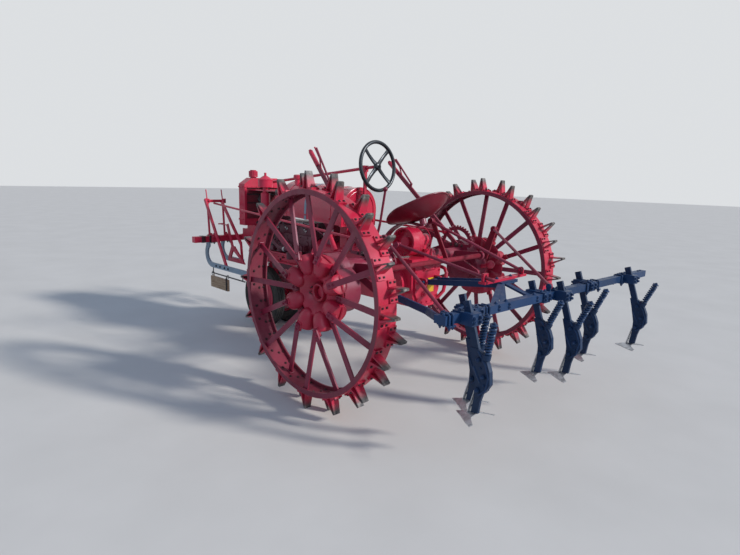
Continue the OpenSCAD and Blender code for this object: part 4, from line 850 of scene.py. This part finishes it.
def engine_details():
    """Bolts, plugs and leads, carburettor, magneto and the air cleaner's pipe with its clamps"""
    # The engine paint is a dark red of painted shade
    p = Piece("engine_details", "engine_paint", "black_plastic", "worn_steel")
    p.bolts([(1.11 + 0.095 * i, 0.106, 1.096) for i in range(7)], UP, 0.009, 0.010)
    p.bolts([(1.14 + 0.105 * i, 0.150, 1.000) for i in range(6)], OUTWARD, 0.008, 0.006)
    for dx, z in ((0, 0.785), (0.04, 0.760)):
        p.bolts([(0.87 + dx + 0.300 * i, 0.190, z) for i in range(4)], OUTWARD, 0.010, 0.008)
    for i in range(4):
        x = 1.19 + CYLINDER_STEP * i
        p.lathe(facing((x, 0.122, 1.058), (0, 0.8, 0.6)), SPARK_PLUG, 12, mat=2)
        p.tube([(x + dx, y, z) for dx, y, z in PLUG_LEAD], 0.0045, 8, mat=1)
        for k in (-1, 1):
            p.bolt((x - 0.03 + 0.020 * k, 0.2183, 0.906 + 0.016 * k), OUTWARD, 0.007, 0.006)
    p.tube(LEAD_TUBE, 0.009, 10, mat=2)
    p.lathe((CARBURETTOR_X, CARBURETTOR_Y, 0), CARBURETTOR, 24)
    p.tube(THROAT, [0.024, 0.024, 0.030], 16)
    p.tube(AIR_PIPE, 0.019, 12)
    for at, way in AIR_CLAMPS:
        p.lathe(facing(at, way), HOSE_CLAMP, 16, mat=2)
    p.box((MAGNETO_X, MAGNETO_Y, 0.872), (0.090, 0.070, 0.050), 0.008)
    p.lathe((MAGNETO_X, MAGNETO_Y, 0.895), MAGNETO_CAP, 20, mat=1)
    for k in range(4):
        a = radians(45 + 90 * k)
        foot = Vector((MAGNETO_X + 0.020 * cos(a), MAGNETO_Y + 0.020 * sin(a), 0.932))
        p.tube([foot, foot + UP * 0.02, (1.63, 0.190 - 0.004 * k, 0.985 + 0.006 * k)], 0.004, 6, mat=1)
    p.lathe((1.470, 0.213, 0), OIL_CAP, 22)
    p.done("tractor")


SADDLE_X = 0.890
# Columns: height, half the length, half the width
SADDLE_LEVELS = mm((925, 70, 105), (1010, 70, 105), (1018, 52, 88), (1110, 46, 80), (1150, 62, 128),
                   (1171, 66, 138))
# Columns: ahead of the saddle's middle, out from it, height
SADDLE_RIB = mm((30, 95, 1012), (26, 84, 1060), (30, 112, 1148))
SADDLE_ROD = mm((100, 150, 1155), (90, 160, 1090), (-20, 150, 1040), (-120, 120, 985))


def tank_saddle():
    """Cast saddle that carries the tank on the clutch housing, with ribs, foot bolts and rods"""
    p = Piece("tank_saddle", "deep_red_paint", "nut_paint")
    squareness = 0.35

    def share(v):
        return copysign(abs(v) ** squareness, v)
    p.rings([[Vector((SADDLE_X + half_x * share(cos(a)), half_y * share(sin(a)), z)) for a in circle(40)]
             for z, half_x, half_y in SADDLE_LEVELS])
    p.bolts([(SADDLE_X + dx, 0.090, 1.010) for dx in (-0.059, 0.059)], UP, 0.008, 0.008, mat=1)
    for side in (LEFT, RIGHT):
        for k in (-1, 1):
            p.tube([(SADDLE_X + k * dx, side * y, z) for dx, y, z in SADDLE_RIB], 0.008, 8)
        p.tube([(SADDLE_X + dx, side * y, z) for dx, y, z in SADDLE_ROD], 0.007, 8)
    p.done("tractor")


LEVER_HORN = mm((700, 200, 1075), (700, 245, 1070), (660, 252, 1010), (625, 252, 955))
PEDAL_BAR = mm((830, 245, 925), (625, 252, 945), (575, 235, 955), (560, 150, 955))
PEDAL_LINK = mm((830, 245, 925), (850, 215, 870), (850, 190, 800))
PULL_WIRE = mm((770, 255, 1090), (780, 250, 960), (800, 246, 930))
GREASE_CUP = mm((14, 0), (14, 16), (20, 18), (20, 34), (8, 38))


def control_details():
    """Rods, a bracket and a grease cup beside the clutch housing, and the housing's bolts"""
    p = Piece("control_details", "deep_red_paint", "red_paint", "worn_steel")
    p.tube(LEVER_HORN, [0.012, 0.018, 0.022, 0.024], 14, mat=1)
    p.tube(PEDAL_BAR, 0.012, 12, mat=1)
    p.tube(PEDAL_LINK, 0.012, 12)
    p.tube(PULL_WIRE, 0.006, 8, mat=2)
    p.box((0.690, 0.175, 1.080), (0.060, 0.110, 0.012), 0.003)
    p.lathe((0.735, 0.205, 1.085), GREASE_CUP, 16, mat=2)
    for a in range(20, 161, 28):
        y, z = on_circle(0, 0.830, 0.150, a)
        p.bolt((0.790, y, z), (1, 0, 0))
    p.bolts([(x, 0.135, 0.990) for x in (0.49, 0.56, 0.62)], UP, 0.009, 0.008)
    p.done("tractor")


TANK_DROP = radians(2.6)
TANK_PIVOT = Vector((0.600, 0, 1.478))
TANK_R, TANK_MID_Z, TANK_BOTTOM_Z = 0.200, 1.278, 1.158
# Straps: place along the tank, material
STRAPS = ((0.760, 0), (1.095, 1), (1.400, 0))
# Strap's section: ahead of its middle, above the tank
STRAP = mm((-14, 0), (-14, 2.8), (14, 2.8), (14, 0))
FUEL_CAP = mm((36, -2), (38, 3), (20, 8), (6, 9))


def on_tank(x, y, z):
    """Point of the level tank, turned to the tank's slope"""
    return TANK_PIVOT + Matrix.Rotation(-TANK_DROP, 3, "Y") @ (Vector((x, y, z)) - TANK_PIVOT)


def tank_ring(r_grow):
    """Points in Y and Z round the tank's D-shaped section, with their outward ways"""
    r = TANK_R + r_grow
    ring = []
    for a in range(0, 181, 9):
        way = (cos(radians(a)), sin(radians(a)))
        ring.append(((r * way[0], TANK_MID_Z + r * way[1]), way))
    for y in (-r, r):
        ring.append(((y, TANK_BOTTOM_Z - r_grow), (copysign(0.8, y), -0.8)))
    return ring


def tank_details():
    """Three straps with tightening bolts, beads of the rear end, ribbed cap and the hood plate's screws"""
    p = Piece("tank_details", "tank_paint", "grey_blue_paint")
    for x, look in STRAPS:
        p.rings([[on_tank(x + dx, y + ny * up, z + nz * up) for dx, up in STRAP]
                 for (y, z), (ny, nz) in tank_ring(0.0006)], look, closed=True)
        p.bolt(on_tank(x, 0.2034, 1.200), OUTWARD, 0.007, 0.006)
    p.tube([on_tank(0.603, y, z) for (y, z), _ in tank_ring(0.003)], 0.0055, 8, closed=True)
    k, mid_z = 0.86, 1.30
    inner = [on_tank(0.598, y * k, mid_z + (z - mid_z) * k) for (y, z), _ in tank_ring(0)]
    p.tube(inner, 0.004, 8, closed=True)
    cap = Matrix.Translation(on_tank(1.370, 0.090, 1.538)) @ Matrix.Rotation(-TANK_DROP, 4, "Y")
    p.lathe(cap, FUEL_CAP, 28)
    p.ribs(cap, 18, 0.0378, -0.016, (0.004, 0.006, 0.026), 0.0015)
    hood = [(x, 0.160, 1.422) for x in (1.47, 1.60, 1.73, 1.86, 1.98)]
    p.bolts(hood, UP, 0.007, 0.004, washer=False)
    p.done("tractor")


CORE_BACK, CORE_FRONT, CORE_HALF_W, CORE_FOOT, CORE_HEAD = 2.060, 2.170, 0.245, 1.110, 1.445
FINS = 38
RADIATOR_CAP = mm((45, 0), (46.5, 3), (46.5, 10), (45, 13))
TOP_HOSE = mm((2062, 0, 1500), (2020, 0, 1495), (1990, 0, 1462), (1985, 0, 1440))


def radiator_details():
    """Core with its fins, tank flanges and bolts, ribbed cap and top hose"""
    p = Piece("radiator_details", "red_paint", "radiator_core", "black_plastic")
    mid_x, width, height = (CORE_BACK + CORE_FRONT) / 2, 2 * CORE_HALF_W, CORE_HEAD - CORE_FOOT
    for x, way in ((CORE_BACK + 0.0138, -1), (CORE_FRONT - 0.0138, 1)):
        for i in range(FINS):
            y = -CORE_HALF_W + 0.035 + i * (width - 0.070) / (FINS - 1)
            fin = (x + way * 0.002, y, CORE_FOOT + height / 2)
            p.box(fin, (0.008, 0.003, height - 0.006), 0.0008, mat=1)
        for z in (1.19, 1.28, 1.37):
            p.box((x + way * 0.004, 0, z), (0.008, width - 0.056, 0.008), 0.001, mat=1)
    for z in (CORE_FOOT, CORE_HEAD):
        p.boxes([(mid_x, CORE_HALF_W + 0.0025, z)], (CORE_FRONT - CORE_BACK + 0.012, 0.009, 0.018))
        screws = [(x, CORE_HALF_W + 0.007, z) for x in (CORE_BACK + 0.025, CORE_FRONT - 0.025)]
        p.bolts(screws, OUTWARD, 0.006, 0.004, washer=False)
        for x, way in ((CORE_BACK, -1), (CORE_FRONT, 1)):
            p.box((x + way * 0.003, 0, z), (0.009, width + 0.010, 0.018))
            row = [(x + way * 0.0075, -0.216 + 0.054 * i, z) for i in range(9)]
            p.bolts(row, (way, 0, 0), 0.0055, 0.004, both=False, washer=False)
    sides = [(mid_x, CORE_HALF_W, z) for z in (1.17, 1.26, 1.35, 1.42)]
    p.bolts(sides, OUTWARD, 0.0065, 0.005, washer=False)
    cap = Matrix.Translation((2.115, 0.105, 1.545))
    p.lathe(cap, RADIATOR_CAP, 32)
    p.ribs(cap, 16, 0.044, 0.036, (0.005, 0.008, 0.044))
    p.tube(TOP_HOSE, 0.028, 18, mat=2)
    p.done("tractor")


engine_details()
tank_saddle()
control_details()
tank_details()
radiator_details()


# Front rig, front wheels, seat and levers

PIPE_X, PIPE_Z, PIPE_HALF = 2.400, 0.890, 0.031
# Places out along the front pipe
COLLARS_Y, PIPE_CLAMP_Y, CLAMP_BOLTS_Y, PIPE_CAP_Y = (0.245, 0.385, 0.478), 0.432, (0.418, 0.446), 0.552
RIG_TOP_Z, UPRIGHT_X = 1.284, 2.450
UPRIGHT_Y = (0.2655, 0.4565)
UPRIGHT_EYE = mm((20, -24), (22, -22), (22, 22), (20, 24))
UPRIGHT_FOOT = mm((24, -2), (24, 12), (14, 18), (12, 30))


def front_details():
    """Clamps, dark collars and bolts on the front pipe, and eyes and feet of the uprights"""
    p = Piece("front_details", "red_paint", "black_paint", "nut_paint")

    def sleeve(width, grow):
        """Size of a box round the pipe"""
        return (2 * PIPE_HALF + grow, width, 2 * PIPE_HALF + grow)
    p.boxes([(PIPE_X, PIPE_CAP_Y, PIPE_Z)], sleeve(0.046, 0.008), 0.004, mat=2)
    p.boxes([(PIPE_X, PIPE_CLAMP_Y, PIPE_Z + 0.004)], sleeve(0.060, 0.022), 0.006)
    p.boxes([(PIPE_X, y, PIPE_Z - 0.002) for y in COLLARS_Y], sleeve(0.020, 0.014), 0.003, mat=1)
    under = [(PIPE_X + x, y, PIPE_Z - 0.0375) for y in (PIPE_CLAMP_Y, COLLARS_Y[0]) for x in (-0.026, 0.026)]
    p.bolts(under, DOWN, 0.011, 0.012, mat=1)
    for way in (-1, 1):
        face = [(PIPE_X + way * 0.042, y, PIPE_Z + z) for y in CLAMP_BOLTS_Y for z in (-0.016, 0.022)]
        p.bolts(face, (way, 0, 0), 0.008, 0.007)
    p.bolts([(PIPE_X, y, PIPE_Z + 0.046) for y in CLAMP_BOLTS_Y], UP, 0.009, 0.010)
    p.bolts([(UPRIGHT_X - 0.021, y, RIG_TOP_Z) for y in UPRIGHT_Y], BACK, 0.008, 0.008, mat=2, washer=False)
    for side, y in product((LEFT, RIGHT), UPRIGHT_Y):
        p.lathe((UPRIGHT_X, side * y, RIG_TOP_Z), UPRIGHT_EYE, 18)
        p.lathe((PIPE_X + 0.0205, side * y, PIPE_Z + PIPE_HALF), UPRIGHT_FOOT, 18)
    p.done("tractor")


def beam_details():
    """Clip bolts on both sides of the grey gang beams"""
    p = Piece("beam_details", "black_paint")
    # Columns: side plane and middle height of a beam, places of its bolts
    for y, z, places in ((0.500, 0.630, (1.96, 2.03, 2.12, 2.20)), (0.320, 0.685, (2.06, 2.20))):
        for way in (-1, 1):
            p.bolts([(x, y + way * 0.009, z) for x in places], (0, way, 0), 0.009, 0.008)
    p.done("tractor")


def board_hangers():
    """Twisted wire down the board's end and its fixing loops round the rail"""
    p = Piece("board_hangers", "black_paint")
    low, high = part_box("hanging_board")
    turns, steps = 9, 10
    for start in (0, pi):
        path = []
        for k in range(turns * steps + 1):
            a = tau * k / steps + start
            z = high[2] - 0.004 - k * (high[2] - low[2] - 0.012) / (turns * steps)
            path.append((low[0] + 0.014 + 0.006 * cos(a), high[1] + 0.007 + 0.004 * sin(a), z))
        p.tube(path, 0.0026, 6)
    mid_y, eye_z = (low[1] + high[1]) / 2, high[2] + 0.004
    for x in (low[0] + 0.014, high[0] - 0.030):
        loop = [(x, mid_y + 0.013 * cos(a), eye_z + 0.020 * sin(a)) for a in circle(20)]
        p.tube(loop, 0.0030, 6, closed=True)
    p.done("tractor")


HUB_CAP = mm((62, -20), (62, 4), (50, 10), (46, 24), (30, 30), (12, 32))
# Raised rings of a front tyre: radius, depth behind its outer side
TYRE_RINGS = mm((236, 4), (262, 3.5), (286, 12))


def front_wheel_details(name, side):
    """Hub cap and lug nuts of a front wheel, and the raised rings of its tyre"""
    p = Piece(f"front_hub_{name}", "red_paint", "tyre_rubber", "nut_paint")
    disc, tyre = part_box(f"front_disc_{name}"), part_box(f"front_tyre_{name}")
    x, z = ((tyre[0][k] + tyre[1][k]) / 2 for k in (0, 2))
    disc_out, tyre_out = (max(side * low[1], side * high[1]) for low, high in (disc, tyre))
    p.lathe(facing((x, side * (disc_out - 0.022), z), (0, side, 0)), HUB_CAP, 36)
    for a in range(0, 360, 60):
        nut_x, nut_z = on_circle(x, z, 0.090, a)
        p.bolt((nut_x, side * (disc_out - 0.040), nut_z), (0, side, 0), 0.012, 0.014, mat=2)
    for r, inset in TYRE_RINGS:
        y = side * (tyre_out - inset)
        p.tube([(x + r * cos(a), y, z + r * sin(a)) for a in circle(72)], 0.0035, 6, 1, closed=True)
    p.done(f"front_wheel_{name}")


SEAT_TURN = Matrix.Translation((-0.095, 0, 1.262)) @ Matrix.Rotation(radians(22), 4, "Y")
DISHED_WASHER = mm((8, 3), (40, 6), (42, 9), (8, 10))
# Front, rear and side of the pan: reach from its bolt and height of its edge there
PAN_FRONT, PAN_REAR, PAN_SIDE = (0.284, 0.044), (0.236, 0.128), (0.232, 0.096)
# The front edge's dip: share of the reach, half its spread about the bolt in radians
PAN_DIP, PAN_DIP_SPREAD = 0.10, 0.22


def pan_point(a, k, lift=0.0):
    """Point of the seat pan: direction about its bolt, share of the way to its edge, height above"""
    end = PAN_FRONT if cos(a) > 0 else PAN_REAR
    reach, height = (end[n] * cos(a) ** 2 + PAN_SIDE[n] * sin(a) ** 2 for n in (0, 1))
    reach *= 1 - k * PAN_DIP * sum(exp(-((a - turn) / PAN_DIP_SPREAD) ** 2) for turn in (0, tau))
    return SEAT_TURN @ Vector((reach * k * cos(a), reach * k * sin(a), height * k ** 1.9 + lift))


def seat_pan():
    """Pressed pan seat: deep at the back, low and notched in front, with a rolled edge"""
    # The seat paint is a dark red of painted shade
    p = Piece("seat_pan", "seat_paint")
    angles, spans = circle(96), 12
    below = [[pan_point(a, k / spans) for a in angles] for k in range(spans, 0, -1)]
    above = [[pan_point(a, k / spans, 0.004) for a in angles] for k in range(1, spans + 1)]
    p.rings(below + above, closed=True)
    p.tube([pan_point(a, 1.0, 0.002) for a in angles], 0.0070, 10, closed=True)
    p.done("tractor", ["pan_seat"])


def seat_details():
    """Bolt of the pan seat and its dished washer"""
    p = Piece("seat_details", "deep_red_paint", "nut_paint")
    p.lathe(SEAT_TURN, DISHED_WASHER, 28, closed=True)
    p.bolt(SEAT_TURN @ Vector((0, 0, 0.009)), SEAT_TURN.to_3x3() @ UP, 0.013, 0.006, mat=1)
    p.done("tractor")


# Columns: side plane of a lift lever, its pivot and its top in X and Z
LEVERS = mm((450, 80, 1010, 720, 1760), (-395, -150, 1045, 640, 1710))
# Columns: way along the lever from its top, radius
GRIP = mm((-150, 17.5), (-20, 18.5), (10, 13))
# Columns: way along the lever from its top, way off it
TRIGGER = mm((-190, 16), (-120, 52), (-10, 60))


def lever_details():
    """Pivot bolts, sector bolts, grips and hand triggers of the lift levers"""
    p = Piece("lever_details", "nut_paint", "red_paint")
    for y, px, pz, tx, tz in LEVERS:
        for way in (-1, 1):
            p.bolt((px, y + way * 0.008, pz), (0, way, 0), 0.016, 0.012)
            for dx in (-0.055, 0.055):
                p.bolt((px + dx, y + way * 0.006, pz - 0.004), (0, way, 0))
        top = Vector((tx, y, tz))
        up = Vector((tx - px, 0, tz - pz)).normalized()
        off = Vector((-up.z, 0, up.x))
        p.tube([top + up * h for h, _ in GRIP], [r for _, r in GRIP], 12, mat=1)
        p.tube([top + up * h + off * d for h, d in TRIGGER], 0.0060, 8, mat=1)
    p.done("tractor")


HAND_WHEEL_AT = Vector((0.400, 0, 1.660))
HAND_WHEEL_R, HAND_WHEEL_SPOKES = 0.196, 4
SHAFT_FALL = radians(6)
# Columns: radius, place ahead of the rim, half the width, half the thickness
FLAT_SPOKE = mm((14, 4, 22, 9), (60, 10, 18.5, 6), (120, 10, 16.5, 6), (170, 4, 17.5, 6), (194, 0, 22, 8))
BOSS = mm((14, -20), (30, -20), (34, -10), (33, 6), (24, 14), (20, 16))


def hand_wheel():
    """Four-spoked steering wheel: a round rim, flat spokes and a boss with its nut"""
    p = Piece("hand_wheel", "black_plastic")
    ahead = Vector((cos(SHAFT_FALL), 0, -sin(SHAFT_FALL)))
    over = Vector((sin(SHAFT_FALL), 0, cos(SHAFT_FALL)))

    def spot(r, a, forward=0.0, across=0.0):
        out = sin(a) * OUTWARD + cos(a) * over
        along = cos(a) * OUTWARD - sin(a) * over
        return HAND_WHEEL_AT + ahead * forward + out * r + along * across
    p.tube([spot(HAND_WHEEL_R, a) for a in circle(96)], 0.0155, 14, closed=True)
    for i in range(HAND_WHEEL_SPOKES):
        turn = radians(45) + tau * i / HAND_WHEEL_SPOKES
        p.rings([[spot(r, turn, forward + thick * sin(a), wide * cos(a)) for a in circle(10)]
                 for r, forward, wide, thick in FLAT_SPOKE])
    p.lathe(facing(HAND_WHEEL_AT, -ahead), BOSS, 28)
    p.bolt(HAND_WHEEL_AT - ahead * 0.015, -ahead, 0.014, 0.011)
    p.done("steering_column", replaces=["steering_wheel"])


hand_wheel()
front_details()
beam_details()
board_hangers()
for wheel_name, wheel_side in SIDES.items():
    front_wheel_details(wheel_name, wheel_side)
seat_pan()
seat_details()
lever_details()


# Camera: place in metres, turn in degrees and focal length in pixels, found from the photograph
CAM_AT = Vector((-2.572, 3.046, 1.542))
CAM_YAW, CAM_PITCH, CAM_ROLL = -45.19, -10.84, 1.65
CAM_FOCAL_PX = 505.2
PHOTO_W = 740
SENSOR_W = 36.0
# Light and backdrop
SKY, SKY_STRENGTH = (0.60, 0.74, 1.0), 0.46
BACKDROP = (0.72, 0.74, 0.76)
FLOOR_REACH = 60.0


def make_camera():
    yaw, pitch, roll = (radians(a) for a in (CAM_YAW, CAM_PITCH, CAM_ROLL))
    ahead = Vector((cos(pitch) * cos(yaw), cos(pitch) * sin(yaw), sin(pitch)))
    side = ahead.cross(UP).normalized()
    over = side.cross(ahead)
    right = side * cos(roll) + over * sin(roll)
    up = over * cos(roll) - side * sin(roll)
    data = bpy.data.cameras.new("camera")
    data.sensor_width = SENSOR_W
    data.lens = CAM_FOCAL_PX / PHOTO_W * SENSOR_W
    data.clip_start, data.clip_end = 0.05, 200
    cam = bpy.data.objects.new("camera", data)
    cam.matrix_world = placed(CAM_AT, right, up, -ahead)
    bpy.context.collection.objects.link(cam)
    bpy.context.scene.camera = cam


def make_world():
    """Soft sky light, and a plain pale backdrop where the camera, a gloss or a clear ray meets it"""
    world = bpy.data.worlds.new("world")
    world.use_nodes = True
    tree = world.node_tree
    light = feed(tree, tree.nodes["Background"], {"Color": SKY, "Strength": SKY_STRENGTH})
    pale = add(tree, "Background", {"Color": BACKDROP})
    rays = add(tree, "LightPath", {}).outputs
    seen = maths(tree, "MAXIMUM", rays["Is Camera Ray"], rays["Is Glossy Ray"])
    seen = maths(tree, "MAXIMUM", seen, rays["Is Transmission Ray"])
    blend = add(tree, "MixShader", {"Fac": seen, 1: light.outputs[0], 2: pale.outputs[0]})
    feed(tree, tree.nodes["World Output"], {"Surface": blend.outputs[0]})
    bpy.context.scene.world = world


def make_floor():
    m, tree, shader = new_material("floor")
    tone = ramp(tree, noise(tree, 1.5, 3), FLOOR)
    feed(tree, shader, {"Base Color": tone, "Roughness": 0.85, "Specular IOR Level": 0.2})
    mesh = bpy.data.meshes.new("floor")
    corners = [(x * FLOOR_REACH, y * FLOOR_REACH, 0) for x, y in ((-1, -1), (1, -1), (1, 1), (-1, 1))]
    mesh.from_pydata(corners, [], [(0, 1, 2, 3)])
    mesh.materials.append(m)
    floor = bpy.data.objects.new("floor", mesh)
    bpy.context.collection.objects.link(floor)


def lamp(name, kind, energy, at, towards, size, colour):
    data = bpy.data.lights.new(name, kind)
    data.energy = energy
    data.color = colour
    setattr(data, "size" if kind == "AREA" else "angle", size)
    o = bpy.data.objects.new(name, data)
    o.location = at
    o.rotation_mode = "QUATERNION"
    o.rotation_quaternion = (Vector(towards) - Vector(at)).to_track_quat("-Z", "Y")
    bpy.context.collection.objects.link(o)


make_camera()
make_world()
make_floor()
lamp("sun", "SUN", 3.5, (-5, -2.6, 3.4), (0, 0, 0.5), radians(6), (1.0, 0.93, 0.84))
lamp("fill", "AREA", 48, (-4.5, 5.0, 4.5), (0.3, 0, 0.8), 4.0, (0.86, 0.92, 1.0))
bpy.context.scene.view_settings.view_transform = "Standard"
